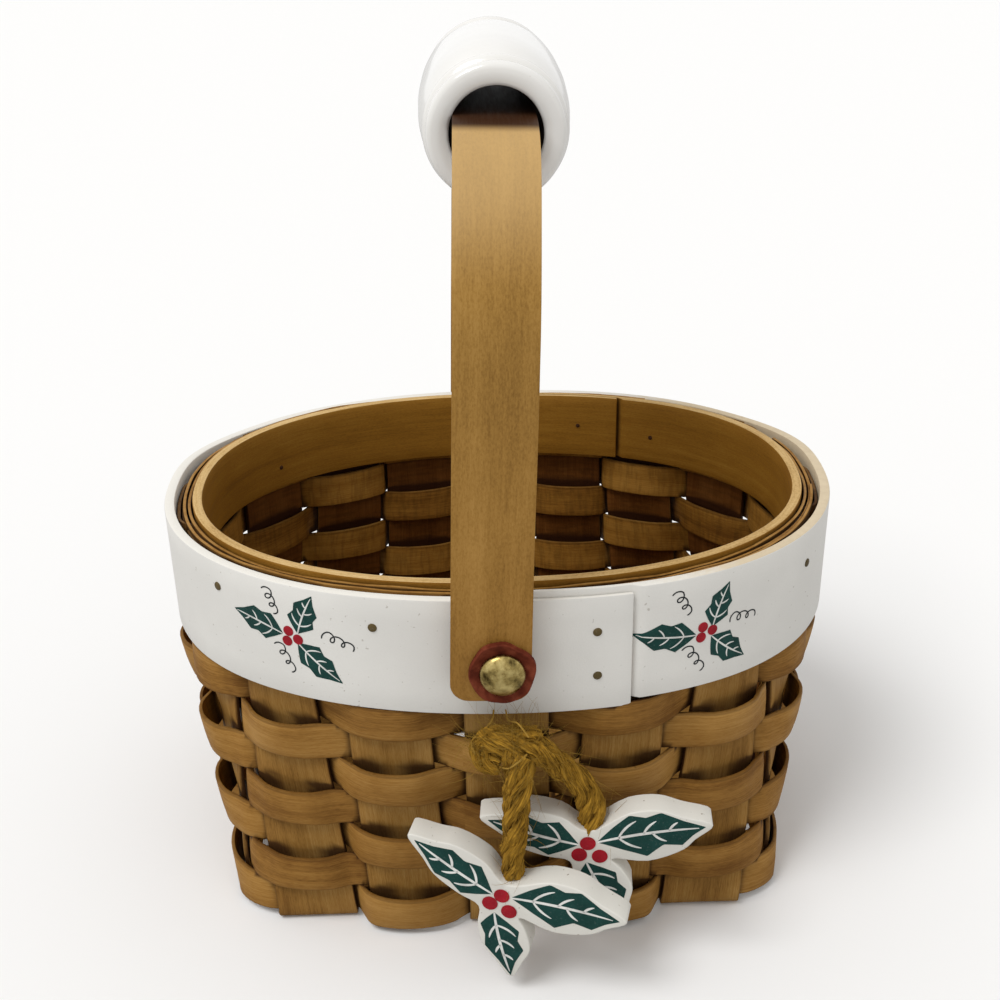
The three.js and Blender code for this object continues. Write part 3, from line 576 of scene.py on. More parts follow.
WALL_FOOT_Z = BEND_RADIUS + SPLINT_THICKNESS / 2
BAND_BOTTOM_Z = RIM_Z - BAND_HEIGHT


def clamp(value):
    return min(max(value, 0.0), 1.0)


def ease(part):
    """From 0 to 1 with a soft start and a soft end."""
    part = clamp(part)
    return part * part * (3 - 2 * part)


def signed_power(value, power):
    return math.copysign(abs(value) ** power, value)


class Oval:
    """A superellipse that is walked by distance from the front middle towards the right."""

    def __init__(self, half_x, half_y, power):
        self.half_x, self.half_y, self.power = half_x, half_y, power
        self.points = []
        for sample in range(OVAL_SAMPLES + 1):
            turn = 2 * math.pi * sample / OVAL_SAMPLES - math.pi / 2
            x = half_x * signed_power(math.cos(turn), 2 / power)
            y = half_y * signed_power(math.sin(turn), 2 / power)
            self.points.append(Vector((x, y)))
        self.distances = travels(self.points)
        self.length = self.distances[-1]

    def point(self, distance):
        wanted = distance % self.length
        after = min(bisect.bisect_right(self.distances, wanted), len(self.points) - 1)
        part = (wanted - self.distances[after - 1]) / (self.distances[after] - self.distances[after - 1])
        return self.points[after - 1].lerp(self.points[after], part)

    def normal(self, distance):
        x, y = self.point(distance)
        slope_x = signed_power(x / self.half_x, self.power - 1) / self.half_x
        slope_y = signed_power(y / self.half_y, self.power - 1) / self.half_y
        return Vector((slope_x, slope_y)).normalized()

    def distance_at_x(self, x, back=False):
        """How far along the front half, or the back half, the oval reaches x."""
        low, high = (0.75, 0.25) if back else (-0.25, 0.25)
        for _ in range(40):
            middle = (low + high) / 2
            if self.point(middle * self.length).x < x:
                low = middle
            else:
                high = middle
        return low * self.length


rim_oval = Oval(113.0, 87.1, 2.23)
hoop_oval = Oval(110.0, 83.2, 2.23)
band_oval = Oval(119.6, 94.6, 2.23)


def foot_distance(span, half_span, other_half):
    return other_half * (1 - abs(span / half_span) ** FOOT_POWER) ** (1 / FOOT_POWER)


def rim_distance(index):
    half, back = rim_oval.length / 2, UPRIGHTS // 2
    step = UPRIGHTS - index if index > back else index
    if step <= FRONT_REACH:
        distance = step * FRONT_RIM_PITCH
    elif step >= back - FRONT_REACH:
        distance = half - (back - step) * BACK_RIM_PITCH
    else:
        start, end = FRONT_REACH * FRONT_RIM_PITCH, half - FRONT_REACH * BACK_RIM_PITCH
        distance = start + (step - FRONT_REACH) * (end - start) / 5
    return rim_oval.length - distance if index > back else distance


def foot_of(index):
    back = UPRIGHTS // 2
    if index <= FRONT_REACH or index >= UPRIGHTS - FRONT_REACH:
        x = (index if index <= FRONT_REACH else index - UPRIGHTS) * BASE_PITCH
        return Vector((x, -foot_distance(x, FOOT_HALF_X, FOOT_HALF_Y))), -math.pi / 2
    if abs(index - back) <= FRONT_REACH:
        x = (back - index) * BASE_PITCH
        return Vector((x, foot_distance(x, FOOT_HALF_X, FOOT_HALF_Y))), math.pi / 2
    if index < back:
        y = (index - 4.5) * BASE_PITCH
        return Vector((foot_distance(y, FOOT_HALF_Y, FOOT_HALF_X), y)), 0.0
    y = (13.5 - index) * BASE_PITCH
    return Vector((-foot_distance(y, FOOT_HALF_Y, FOOT_HALF_X), y)), math.pi


def make_upright(index):
    foot, foot_angle = foot_of(index)
    distance = rim_distance(index)
    normal = rim_oval.normal(distance)
    angle = math.atan2(normal.y, normal.x)
    angle += 2 * math.pi * round((foot_angle - angle) / (2 * math.pi))
    before = rim_oval.normal(distance - SPLINT_WIDTH / 2)
    after = rim_oval.normal(distance + SPLINT_WIDTH / 2)
    bow = before.angle(after) / SPLINT_WIDTH
    return foot, foot_angle, rim_oval.point(distance), angle, bow


uprights = [make_upright(index) for index in range(UPRIGHTS)]


class WallFrame:
    """Where an upright's middle is at a height, the ways across it and out of it, and how much it bows."""

    def __init__(self, index, height):
        foot, foot_angle, rim_point, rim_angle, rim_bow = uprights[index % UPRIGHTS]
        rise = clamp((height - WALL_FOOT_Z) / (BAND_BOTTOM_Z - WALL_FOOT_Z))
        flare = 1 - (1 - rise) ** WALL_FLARE_POWER
        tuck = BAND_TAPER * min(RIM_Z - height, BAND_HEIGHT) / BAND_HEIGHT
        rim_normal = Vector((math.cos(rim_angle), math.sin(rim_angle)))
        place = foot.lerp(rim_point - rim_normal * tuck, flare)
        angle = foot_angle + (rim_angle - foot_angle) * flare
        self.centre = Vector((place.x, place.y, height))
        self.across = Vector((-math.sin(angle), math.cos(angle), 0))
        self.out = Vector((math.cos(angle), math.sin(angle), 0))
        self.bow = rim_bow * flare

    def point(self, along, offset):
        return self.centre + self.across * along + self.out * (offset - self.bow * along * along / 2)


print("uprights:", len(uprights), "rim length in mm:", round(rim_oval.length))

# %% [markdown]
# A real upright isn't quite flat. The rows push it in and out a little, its
# edges were cut by hand, and it cups across its width. These small changes
# are what make a woven wall look woven, so they are put into the mesh and not
# left to a bump texture.

# %% Base splints that turn up into the walls
WALL_STEP, BEND_STEPS, BASE_STEPS, SPLINT_COLUMNS = 1.8, 6, 66, 9
SPLINT_EDGE, EDGE_WOBBLE, SPLINT_CUP = 0.45, 0.22, 0.18
CROSSING_REACH = SPLINT_WIDTH / 2 + 0.1
WEAVE_PUSH = 0.45
tones = random.Random(11)
woven_pieces = []


def ripple(seed, along, size):
    return noise.noise(Vector((along / size, seed * 7.3, seed * 1.7)))


def weave_push(index, height):
    """How far the rows push an upright out at a height."""
    row = (height - FIRST_ROW_Z) / ROW_PITCH
    if row < 0 or height > BAND_BOTTOM_Z:
        return 0.0
    is_outside = (index + math.floor(row)) % 2 == 1
    swell = math.sin(math.pi * (row - math.floor(row)))
    return (-WEAVE_PUSH if is_outside else WEAVE_PUSH) * swell


def splint_section(centre, across, out, bow, seed, travel, flip):
    """Points across a splint that is bowed, cupped, and uneven at its edges. travel picks the noise."""
    section = []
    for column in range(SPLINT_COLUMNS):
        side = 2 * column / (SPLINT_COLUMNS - 1) - 1
        wobble = EDGE_WOBBLE * ripple(seed + (5 if side > 0 else 0), travel, 17) * abs(side)
        along = (SPLINT_WIDTH / 2 + wobble) * side * (-1 if flip else 1)
        cup = SPLINT_CUP * (1 - side * side) * ripple(seed + 9, travel, 45)
        section.append(centre + across * along + out * (cup - bow * along * along / 2))
    return section


def wall_sections(index, seed, flip):
    """From the top of an upright down to its foot."""
    steps = int((SPLINT_TOP_Z - WALL_FOOT_Z) / WALL_STEP)
    sections = []
    for height in [SPLINT_TOP_Z - WALL_STEP * step for step in range(steps)] + [WALL_FOOT_Z]:
        wall = WallFrame(index, height)
        centre = wall.centre + wall.out * weave_push(index, height)
        travel = height if flip else 400 - height
        sections.append(splint_section(centre, wall.across, wall.out, wall.bow, seed, travel, flip))
    return sections


def bend_sections(index, seed, flip):
    """The quarter turn from an upright's foot into the base."""
    foot, angle = uprights[index][:2]
    outward = Vector((math.cos(angle), math.sin(angle), 0))
    across = Vector((-outward.y, outward.x, 0))
    middle = Vector((*foot, WALL_FOOT_Z)) - outward * BEND_RADIUS
    sections = []
    for step in range(1, BEND_STEPS + 1):
        turn = math.pi / 2 * step / BEND_STEPS
        out = outward * math.cos(turn) - Vector((0, 0, math.sin(turn)))
        sections.append(splint_section(middle + out * BEND_RADIUS, across, out, 0, seed, 8 * step, flip))
    return sections


def base_level(centred, places, is_high):
    """How high the middle of a base splint is: over, under or between the splints that it crosses."""
    low = SPLINT_THICKNESS / 2
    levels = {place: low + (SPLINT_THICKNESS + WEAVE_GAP) * over for place, over in zip(places, is_high)}
    nearest = min(places, key=lambda place: abs(centred - place))
    beside = nearest + math.copysign(BASE_PITCH, centred - nearest)
    part = ease((abs(centred - nearest) - CROSSING_REACH) / (BASE_PITCH - 2 * CROSSING_REACH))
    return levels[nearest] + (levels.get(beside, low) - levels[nearest]) * part


def base_splint(node, first, last, other_places, is_high, seed):
    """A splint from the top of one wall, across the base, to the top of the opposite wall."""
    start, end = Vector((*uprights[first][0], 0)), Vector((*uprights[last][0], 0))
    travel_way = (end - start).normalized()
    across = WallFrame(first, 0).across
    run = (end - start).length - 2 * BEND_RADIUS
    sections = wall_sections(first, seed, False) + bend_sections(first, seed, False)
    for step in range(1, BASE_STEPS):
        travel = run * step / BASE_STEPS
        centre = start + travel_way * (BEND_RADIUS + travel)
        centre.z = base_level(centre.dot(travel_way), other_places, is_high)
        sections.append(splint_section(centre, across, Vector((0, 0, -1)), 0, seed, 150 + travel, False))
    sections += (wall_sections(last, seed, True) + bend_sections(last, seed, True))[::-1]
    piece = strip(f"{node}_wood", sections, SPLINT_THICKNESS, SPLINT_EDGE, start=seed * 500)
    set_tone(piece, tones.random())
    woven_pieces.append(finish_piece(piece, upright_wood, "splint_wood", "basket", node))


def finish_piece(piece, material, slot, body, *nodes):
    piece.data.materials.clear()
    piece.data.materials.append(material)
    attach(piece, body)
    if nodes:
        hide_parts(*nodes)
    return piece


CROSS_X = [-68.0, -34.0, 0.0, 34.0, 68.0]
LONG_Y = [-51.0, -17.0, 17.0, 51.0]
cross_names = ["left_outer", "left_inner", "middle", "right_inner", "right_outer"]
long_names = ["front_outer", "front_inner", "back_inner", "back_outer"]
for order, name in enumerate(cross_names):
    reach = order - 2
    highs = [(order + other) % 2 == 0 for other in range(4)]
    base_splint(f"cross_splint_{name}", reach % UPRIGHTS, 9 - reach, LONG_Y, highs, order)
for order, name in enumerate(long_names):
    highs = [(order + other) % 2 == 1 for other in range(5)]
    base_splint(f"long_splint_{name}", 15 - order, 3 + order, CROSS_X, highs, order + 5)
print("base splints:", len(cross_names) + len(long_names))

# %% [markdown]
# The rows are narrower, thinner splints. A row goes outside one upright and
# inside the next, and the row above does the opposite. Between two uprights
# it has only a few millimetres to cross from one side to the other, so it
# bulges over each upright like a small pillow. The top of a row stands off
# more than its bottom, which leaves the dark pockets seen from above.

# %% Woven rows
CREST_OUTSIDE_TOP, CREST_OUTSIDE_LOW, CREST_INSIDE = 7.0, 5.3, 5.2
CREST_SHAPE = [(-14.4, 0.0), (-8.5, 0.72), (0.0, 1.0), (8.5, 0.72), (14.4, 0.0)]
ROW_HEIGHT, ROW_OVERLAP, CROSSING_OVERLAP = 12.9, 0.45, 0.15
FIRST_BAND_ROW = 7
END_X, END_BULGES, LEFT_END_BULGE = 88.0, [-2.8, -2.2, -1.2, -0.8, 0.2, 0.4, 0.4, 0, 0, 0], 1.4
BAND_PRESS = 3.0
CORNER_TURN, CORNER_PUSH = math.radians(25), 0.12
SPAN_STEPS, ROW_COLUMNS, ROW_EDGE = 3, 5, 0.3


def crest_outside(row, x, is_top):
    """How far an edge of a row stands off the middle of the upright that it passes in front of."""
    crest = CREST_OUTSIDE_TOP if is_top else CREST_OUTSIDE_LOW
    if abs(x) > END_X:
        crest += END_BULGES[row] + (LEFT_END_BULGE if x < 0 else 0)
        if is_top and row == FIRST_BAND_ROW - 1:
            crest -= BAND_PRESS
    return crest


def row_edge_points(row, height, is_top):
    """Control points of one edge of a row, all the way round."""
    points = []
    is_flat = row > FIRST_BAND_ROW
    edge = RIM_WEAVE_OFFSET if is_flat else WEAVE_EDGE_OFFSET
    for index in range(UPRIGHTS):
        wall, after = WallFrame(index, height), WallFrame(index + 1, height)
        is_outside = (index + row) % 2 == 1
        side = 1 if is_outside else -1
        crest = crest_outside(row, wall.centre.x, is_top) if is_outside else CREST_INSIDE
        if is_flat or (row == FIRST_BAND_ROW and is_outside):
            crest = edge
        overlap = Vector((0, 0, 0))
        if is_top != is_outside:
            overlap.z = ROW_OVERLAP if is_top else -ROW_OVERLAP
        for along, share in CREST_SHAPE:
            points.append(wall.point(along, side * (edge + (crest - edge) * share)) + overlap)
        last = wall.point(WEAVER_EDGE_HALF, side * edge)
        first = after.point(-WEAVER_EDGE_HALF, -side * edge)
        middle = last.lerp(first, 0.5)
        if wall.out.angle(after.out) > CORNER_TURN:
            outward = Vector((middle.x, middle.y, 0)).normalized()
            middle += outward * (last - first).length * CORNER_PUSH
        middle.z += CROSSING_OVERLAP if is_top else -CROSSING_OVERLAP
        points.append(middle)
    return points


def woven_row(row):
    low_z = FIRST_ROW_Z + row * ROW_PITCH
    low = curve_through(row_edge_points(row, low_z, False), SPAN_STEPS, closed=True)
    high = curve_through(row_edge_points(row, low_z + ROW_HEIGHT, True), SPAN_STEPS, closed=True)
    parts = [column / (ROW_COLUMNS - 1) for column in range(ROW_COLUMNS)]
    sections = []
    for step, (bottom, top) in enumerate(zip(low, high)):
        around = 2 * math.pi * step / len(low)
        where = Vector((math.cos(around) * 5, math.sin(around) * 5, row * 4.1))
        outward = Vector((bottom.x, bottom.y, 0)).normalized()
        cup = 0.35 + 0.3 * noise.noise(where * 0.8 + Vector((0, 0, 20)))
        bottom.z += 0.14 * noise.noise(where * 1.7)
        top.z += 0.18 * noise.noise(where * 1.9 + Vector((0, 0, 9)))
        sections.append([bottom.lerp(top, part) + outward * cup * 4 * part * (1 - part) for part in parts])
    sections.append([point.copy() for point in sections[0]])
    name = f"weaver_row_{row + 1}"
    piece = strip(name + "_wood", sections, WEAVER_THICKNESS, ROW_EDGE, closed=True, start=row * 900 + 137)
    set_tone(piece, tones.random())
    woven_pieces.append(finish_piece(piece, weaver_wood, "splint_wood", "basket", name))


for row in range(ROW_COUNT):
    woven_row(row)
print("woven rows:", ROW_COUNT, "last row's faces:", len(woven_pieces[-1].data.polygons))

# %% [markdown]
# Two hoops hold the top of the weave between them. Each is one strip that
# overlaps itself, and at the lap both ends are pared to half their thickness
# so the joint stays flat. The outer band's upper end sits a little low, as
# hand-set bands do. A loft of rings fits this, because the thickness changes.

# %% Rim hoops
HOOP_THICKNESS, LAP_GAP = 3.6, 0.3
EASE_LENGTH, RAMP = 89.0, 3.0
LEVEL_START, LEVEL_EASE = 1.0, 9.0
BACK_START_Y, BACK_EASE = 12, 55
RING_SPACING, BAND_ROWS = 4.0, 6
STEEP, INNER_EDGE_HEIGHT, TOP_EDGE_WAVE = 0.75, 7, 0.25


class Band:
    """A lapped strip on an oval, with the shape that every ring of its loft needs."""

    def __init__(self, oval, height, taper, lap_end, lap_length, drops=(0.0, 0.0, 0.0)):
        """The drops are how far the end sinks, the start rises, and the back sinks."""
        self.oval, self.height, self.taper, self.lap_length = oval, height, taper, lap_length
        self.end_drop, self.start_rise, self.back_drop = drops
        self.start, self.total = lap_end - lap_length, oval.length + lap_length

    def skins(self, travel):
        """How deep the outer and the inner face lie below the oval."""
        outer, inner = 0.0, HOOP_THICKNESS
        pared = HOOP_THICKNESS / 2 + LAP_GAP / 2
        if travel < self.lap_length + RAMP:
            outer = pared * (1 - clamp((travel - self.lap_length) / RAMP))
        if travel > self.oval.length - RAMP:
            inner -= pared * clamp((travel - self.oval.length + RAMP) / RAMP)
        return outer, inner

    def lift(self, travel):
        """The under ply starts level with the outer ply, and soon stands a little above it."""
        reach = self.lap_length + EASE_LENGTH
        apart = clamp((travel - LEVEL_START) / LEVEL_EASE)
        rise = clamp(1 - travel / reach) ** 1.5 * apart
        if travel < self.lap_length:
            fall = (1 - apart) * clamp(1 - (self.lap_length - travel) / reach) ** 1.5
        else:
            fall = clamp(1 - (self.total - travel) / reach) ** 1.5
        return self.start_rise * rise - self.end_drop * fall

    def place(self, travel, depth, down):
        """A point of the strip: how far along it, how deep in it, and how far below its top edge."""
        distance = self.start + travel
        point, normal = self.oval.point(distance), self.oval.normal(distance)
        point = point - normal * (depth + self.taper * down / self.height)
        low = self.back_drop * ease((self.oval.point(distance).y - BACK_START_Y) / BACK_EASE)
        height = self.lift(travel) - low - down * (1 - low / self.height)
        return Vector((point.x, point.y, RIM_Z + height))

    def loft(self, name):
        steps = round(self.total / RING_SPACING)
        lap, far = self.lap_length, self.oval.length
        places = [self.total * step / steps for step in range(steps + 1)]
        rings = []
        for travel in sorted(places + [lap, lap + RAMP, far - RAMP, far]):
            outer, inner = self.skins(travel)
            wave = TOP_EDGE_WAVE * ripple(3, travel, 60)
            downs = [self.height * row / (BAND_ROWS - 1) - wave for row in range(BAND_ROWS)]
            downs[0] = wave
            ring = [self.place(travel, outer, down) for down in downs]
            rings.append(ring + [self.place(travel, inner, down) for down in downs[::-1]])
        return loft(name, rings)


def rim_piece(band, node, edge, tone, material, slot, edge_material):
    """A rim hoop. Its faces that look up or down are sawn edges and have their own material."""
    piece = band.loft(f"{node}_wood")
    round_edges(piece, edge)
    smooth(piece)
    set_tone(piece, tone)
    finish_piece(piece, material, slot, "basket", node)
    piece.data.materials.append(edge_material)
    for face in piece.data.polygons:
        if abs(face.normal.z) > STEEP:
            face.material_index = 1
    return piece


BAND_LAP_LENGTH, HOOP_LAP_LENGTH = 43.0, 45.0
hoop_lap_end = hoop_oval.distance_at_x(52.0, back=True) + HOOP_LAP_LENGTH
inner_hoop = Band(hoop_oval, HOOP_HEIGHT, HOOP_TAPER, hoop_lap_end, HOOP_LAP_LENGTH)
band_lap_end = band_oval.distance_at_x(40.8)
outer_band = Band(band_oval, BAND_HEIGHT, BAND_TAPER, band_lap_end, BAND_LAP_LENGTH, (1.4, 1.4, 3.2))
hoop_piece = rim_piece(inner_hoop, "inner_rim_hoop", 0.7, 0.35, hoop_wood, "hoop_wood", sawn_edge)
band_piece = rim_piece(outer_band, "outer_rim_band", 0.6, 0.7, band_paint, "white_paint", rubbed_edge)
band_piece.data.materials.append(hoop_wood)
for face in band_piece.data.polygons:
    if abs(face.normal.z) <= STEEP and face.normal.xy.dot(face.center.xy) < 0:
        face.material_index = 1 if face.center.z > (RIM_Z - INNER_EDGE_HEIGHT) * MM else 2
print("band faces:", len(band_piece.data.polygons))

# %% [markdown]
# Looking down at the rim, thin strips fill the gap between the hoops. They
# are the folded tops of the uprights and a filler splint. They stand at
# slightly different heights, so each gets its own wavy top edge.

# %% Filler strips in the rim
FILLER_TOP_Z, FILLER_FOOT_Z = RIM_Z - 1.7, SPLINT_TOP_Z + 0.7
gap_outer_oval = Oval(band_oval.half_x - HOOP_THICKNESS, band_oval.half_y - HOOP_THICKNESS, band_oval.power)


def filler_strip(name, share_out, end_share_out, start_turn, share, thickness, seed, high=0.0):
    """A thin strip in the gap. A share out of 0 is at the inner hoop, and 1 is at the band."""
    steps = round(150 * share) + 10
    sections = []
    for step in range(steps + 1):
        turn = start_turn + share * step / steps
        out = share_out + (end_share_out - share_out) * step / steps
        near, far = (oval.point(oval.length * turn) for oval in (hoop_oval, gap_outer_oval))
        normal = gap_outer_oval.normal(gap_outer_oval.length * turn)
        top = FILLER_TOP_Z + high + 0.9 * ripple(seed, step, 13) + 0.35 * ripple(seed + 3, step, 3.1)
        place = near.lerp(far, out) - normal * 0.5 * ripple(seed + 6, step, 15)
        sections.append([Vector((place.x, place.y, FILLER_FOOT_Z)), Vector((place.x, place.y, top))])
    piece = strip(name, sections, thickness, 0.2, start=seed * 77)
    set_tone(piece, 0.9)
    woven_pieces.append(finish_piece(piece, weaver_wood, "splint_wood", "basket"))


filler_strip("rim_filler_outer", 0.46, 0.46, 0.40, 0.90, 1.1, 44)
filler_strip("rim_filler_inner", 0.18, 0.18, 0.55, 0.96, 1.1, 47)
end_turn = gap_outer_oval.distance_at_x(52) / gap_outer_oval.length
filler_strip("rim_filler_end", 0.88, 0.52, end_turn, 0.15, 1.0, 52, 0.9)
print("filler strips: 3")

# %% [markdown]
# The deep places of a woven wall get painted shade: their wood is painted
# darker, as the light would shade them. To find them, short rays go out from
# every point of the wood, and the share that soon meets other wood is kept on
# the point as a number that the wood's finish reads. The rays meet a tree of
# all the pieces' faces.

# %% Painted shade in the deep places of the weave
RAY_REACH, RAY_TILT, RAYS_AROUND, RAY_LIFT = 6.5, math.radians(52), 6, 0.2
# The rays that find the pockets for painted shade: how far down each leans, how far it reaches, and how
# much each hit adds.
POCKET_FALLS, POCKET_REACH, POCKET_SHARE = (0.15, 0.40, 0.70, 1.0), 6.0, 0.8
UPRIGHT_LIMIT, FACES_IN = 0.6, -0.5


def tree_of(pieces):
    points, faces = [], []
    for piece in pieces:
        base = len(points)
        points += [vertex.co.copy() for vertex in piece.data.vertices]
        faces += [[base + corner for corner in face.vertices] for face in piece.data.polygons]
    return BVHTree.FromPolygons(points, faces)


def ray_ways(normal):
    """The normal, and ways that lean away from it all round."""
    aside = normal.orthogonal().normalized()
    beside = normal.cross(aside)
    ways = [normal]
    for ray in range(1, RAYS_AROUND + 1):
        turn = 2 * math.pi * ray / RAYS_AROUND
        around = aside * math.cos(turn) + beside * math.sin(turn)
        ways.append(normal * math.cos(RAY_TILT) + around * math.sin(RAY_TILT))
    return ways


def mark_recess(piece, tree, has_pockets):
    recess, inner = [], []
    for vertex in piece.data.vertices:
        normal = vertex.normal
        origin = vertex.co + normal * RAY_LIFT * MM
        blocked = 0.0
        for way in ray_ways(normal):
            distance = tree.ray_cast(origin, way, RAY_REACH * MM)[3]
            if distance is not None:
                blocked += 1 - 0.7 * distance / (RAY_REACH * MM)
        # More rays lean down from an upright to the row in front of it, for painted shade on the upright
        # just above the row's top edge.
        if has_pockets and abs(normal.z) < UPRIGHT_LIMIT:
            flat = Vector((normal.x, normal.y, 0)).normalized()
            for fall in POCKET_FALLS:
                if tree.ray_cast(origin, flat - Vector((0, 0, fall)), POCKET_REACH * MM)[3] is not None:
                    blocked += POCKET_SHARE
        recess.append(blocked / (RAYS_AROUND + 1))
        inner.append(float(normal.xy.dot(vertex.co.xy.normalized()) < FACES_IN))
    # The share of blocked rays is kept on each point as its painted shade.
    keep_numbers(piece, "recess", recess)
    keep_numbers(piece, "inner", inner)
    return len(recess)


wood_tree = tree_of(woven_pieces + [hoop_piece, band_piece])
marked = sum(mark_recess(piece, wood_tree, "splint" in piece.name) for piece in woven_pieces + [hoop_piece])
print("points with a recess value:", marked)

# %% [markdown]
# The handle is one flat strip, steamed and bent into a bail. Its two legs are
# straight, its corners are wide bends, and its ends are rounded. A rectangle
# lofted along the path and then bevelled gives the soft planed edges.

# %% Bail handle
PIVOT_X, PIVOT_Z, HANDLE_WIDTH, HANDLE_THICKNESS = -1.4, 115.4, 25.4, 5.0
HANDLE_LEG_Y, HANDLE_BAR_Z, HANDLE_BEND_RADIUS = 99.9, 273.2, 50.0
HANDLE_END_DROP, HANDLE_END_ROUND, HANDLE_EDGE = 11.2, 6.0, 1.5
HANDLE_HOLE_OFFSET, HANDLE_LEAN = 3.6, math.radians(2)
END_STEPS, LEG_STEPS, CORNER_STEPS, BAR_STEPS = 8, 20, 24, 6
RING_CORNERS = [(1, 1), (0.33, 1), (-0.33, 1), (-1, 1), (-1, -1), (-0.33, -1), (0.33, -1), (1, -1)]


def handle_stations():
    """Places along the front half: y, z, the way out, and half the width there."""
    leg_end, bend_z = PIVOT_Z - HANDLE_END_DROP, HANDLE_BAR_Z - HANDLE_BEND_RADIUS
    half, leg_start = HANDLE_WIDTH / 2, leg_end + HANDLE_END_ROUND
    stations = []
    for step in range(END_STEPS + 1):
        turn = math.pi / 2 * step / END_STEPS
        z = leg_end + HANDLE_END_ROUND * (1 - math.cos(turn))
        stations.append((-HANDLE_LEG_Y, z, -1, 0, half - HANDLE_END_ROUND * (1 - math.sin(turn))))
    for step in range(1, LEG_STEPS):
        z = leg_start + (bend_z - leg_start) * step / LEG_STEPS
        stations.append((-HANDLE_LEG_Y, z, -1, 0, half))
    for step in range(CORNER_STEPS + 1):
        turn = math.pi / 2 * step / CORNER_STEPS
        y = -HANDLE_LEG_Y + HANDLE_BEND_RADIUS * (1 - math.cos(turn))
        z = bend_z + HANDLE_BEND_RADIUS * math.sin(turn)
        stations.append((y, z, -math.cos(turn), math.sin(turn), half))
    bar = HANDLE_LEG_Y - HANDLE_BEND_RADIUS
    for step in range(1, BAR_STEPS + 1):
        stations.append((-bar * (1 - step / BAR_STEPS), HANDLE_BAR_Z, 0, 1, half))
    return stations


def handle_rings():
    front = handle_stations()
    back = [(-y, z, -out_y, out_z, half) for y, z, out_y, out_z, half in front[:-1]][::-1]
    pivot = Vector((PIVOT_X, 0, PIVOT_Z))
    leaning = Matrix.Rotation(HANDLE_LEAN, 3, "Y")
    rings = []
    for step, (y, z, out_y, out_z, half) in enumerate(front + back):
        out = Vector((0, out_y, out_z))
        centre = Vector((0.25 * ripple(70, step, 14), y, z))
        width = half + 0.18 * ripple(71, step, 9)
        ring = []
        for side, deep in RING_CORNERS:
            corner = centre + Vector((side * width, 0, 0)) + out * (deep * HANDLE_THICKNESS / 2)
            ring.append(pivot + leaning @ (corner - pivot - Vector((HANDLE_HOLE_OFFSET - PIVOT_X, 0, 0))))
        rings.append(ring)
    return rings


handle_piece = loft("bail_handle_wood", handle_rings())
round_edges(handle_piece, HANDLE_EDGE, 4, 40)
smooth(handle_piece)
set_tone(handle_piece, 0.5)
finish_piece(handle_piece, handle_wood, "handle_wood", "handle", "handle")
print("handle faces:", len(handle_piece.data.polygons))

# %% [markdown]
# Round pieces are spun: the half outline is drawn as a line of points and
# turned once round the axis with the spin operator, as a potter or a turner
# would. The ceramic grip has a wide bore, a flat end, a bead and a barrel.

# %% Spun pieces
def spun(name, profile, x, z, steps):
    """A solid of revolution round a line along Y, from (radius, along) points of its outline."""
    edges = [(index, index + 1) for index in range(len(profile) - 1)]
    piece = mesh_piece(name, [(x + radius, along, z) for radius, along in profile], [], edges=edges)
    turn = {"steps": steps, "angle": 2 * math.pi, "center": (x * MM, 0, z * MM), "axis": (0, 1, 0)}
    edit_mesh(
        piece, (bpy.ops.mesh.spin, turn), (bpy.ops.mesh.remove_doubles, {"threshold": 0.02 * MM}),
        (bpy.ops.mesh.normals_make_consistent, {"inside": False}),
    )
    smooth(piece, 40)
    return piece


# The outline of the front end, from the mouth of the bore over a bead to the barrel:
# the radius, and how far in from the end face.
GRIP_X, GRIP_Z, GRIP_HALF, GRIP_BORE, GRIP_BODY = 1.1, 270.0, 47.7, 14.5, 24.6
GRIP_FRONT = [
    (14.5, 1.5), (14.9, 0.5), (15.7, 0), (19.7, 0), (20.8, 0.45), (21.5, 1.5), (21.6, 2.6), (21.5, 4.4),
    (20.7, 5.5), (20.8, 6.1), (22.1, 6.9), (22.7, 8.2), (22.6, 9.6), (21.7, 10.9), (21.3, 12), (22.0, 14.5),
    (23.1, 19), (23.9, 25), (24.25, 31),
]


def grip_profile():
    """From the middle of the bore, round one end to the middle of the barrel, and back round the other."""
    front = [(radius, along - GRIP_HALF) for radius, along in GRIP_FRONT]
    back = [(radius, -along) for radius, along in front[::-1]]
    return [(GRIP_BORE, 0), *front, (GRIP_BODY, 0), *back, (GRIP_BORE, 0)]


grip_piece = spun("ceramic_grip_glazed", grip_profile(), GRIP_X, GRIP_Z, 96)
finish_piece(grip_piece, glaze, "glazed_ceramic", "grip", "ceramic_grip")
# The faces of the bore take the unglazed clay, painted near black as painted shade.
grip_piece.data.materials.append(bore_clay_and_shade)
for face in grip_piece.data.polygons:
    from_line = math.hypot(face.center.x - GRIP_X * MM, face.center.z - GRIP_Z * MM)
    if from_line < (GRIP_BORE + 0.05) * MM:
        face.material_index = 1
print("grip faces:", len(grip_piece.data.polygons))

# %% [markdown]
# At each side a brass rivet goes through a leather washer, the handle, a
# spacer and the rim, and is clenched over a burr inside. The washer was cut
# by hand and pressed by the rivet, so its outline wavers and its rim lifts.

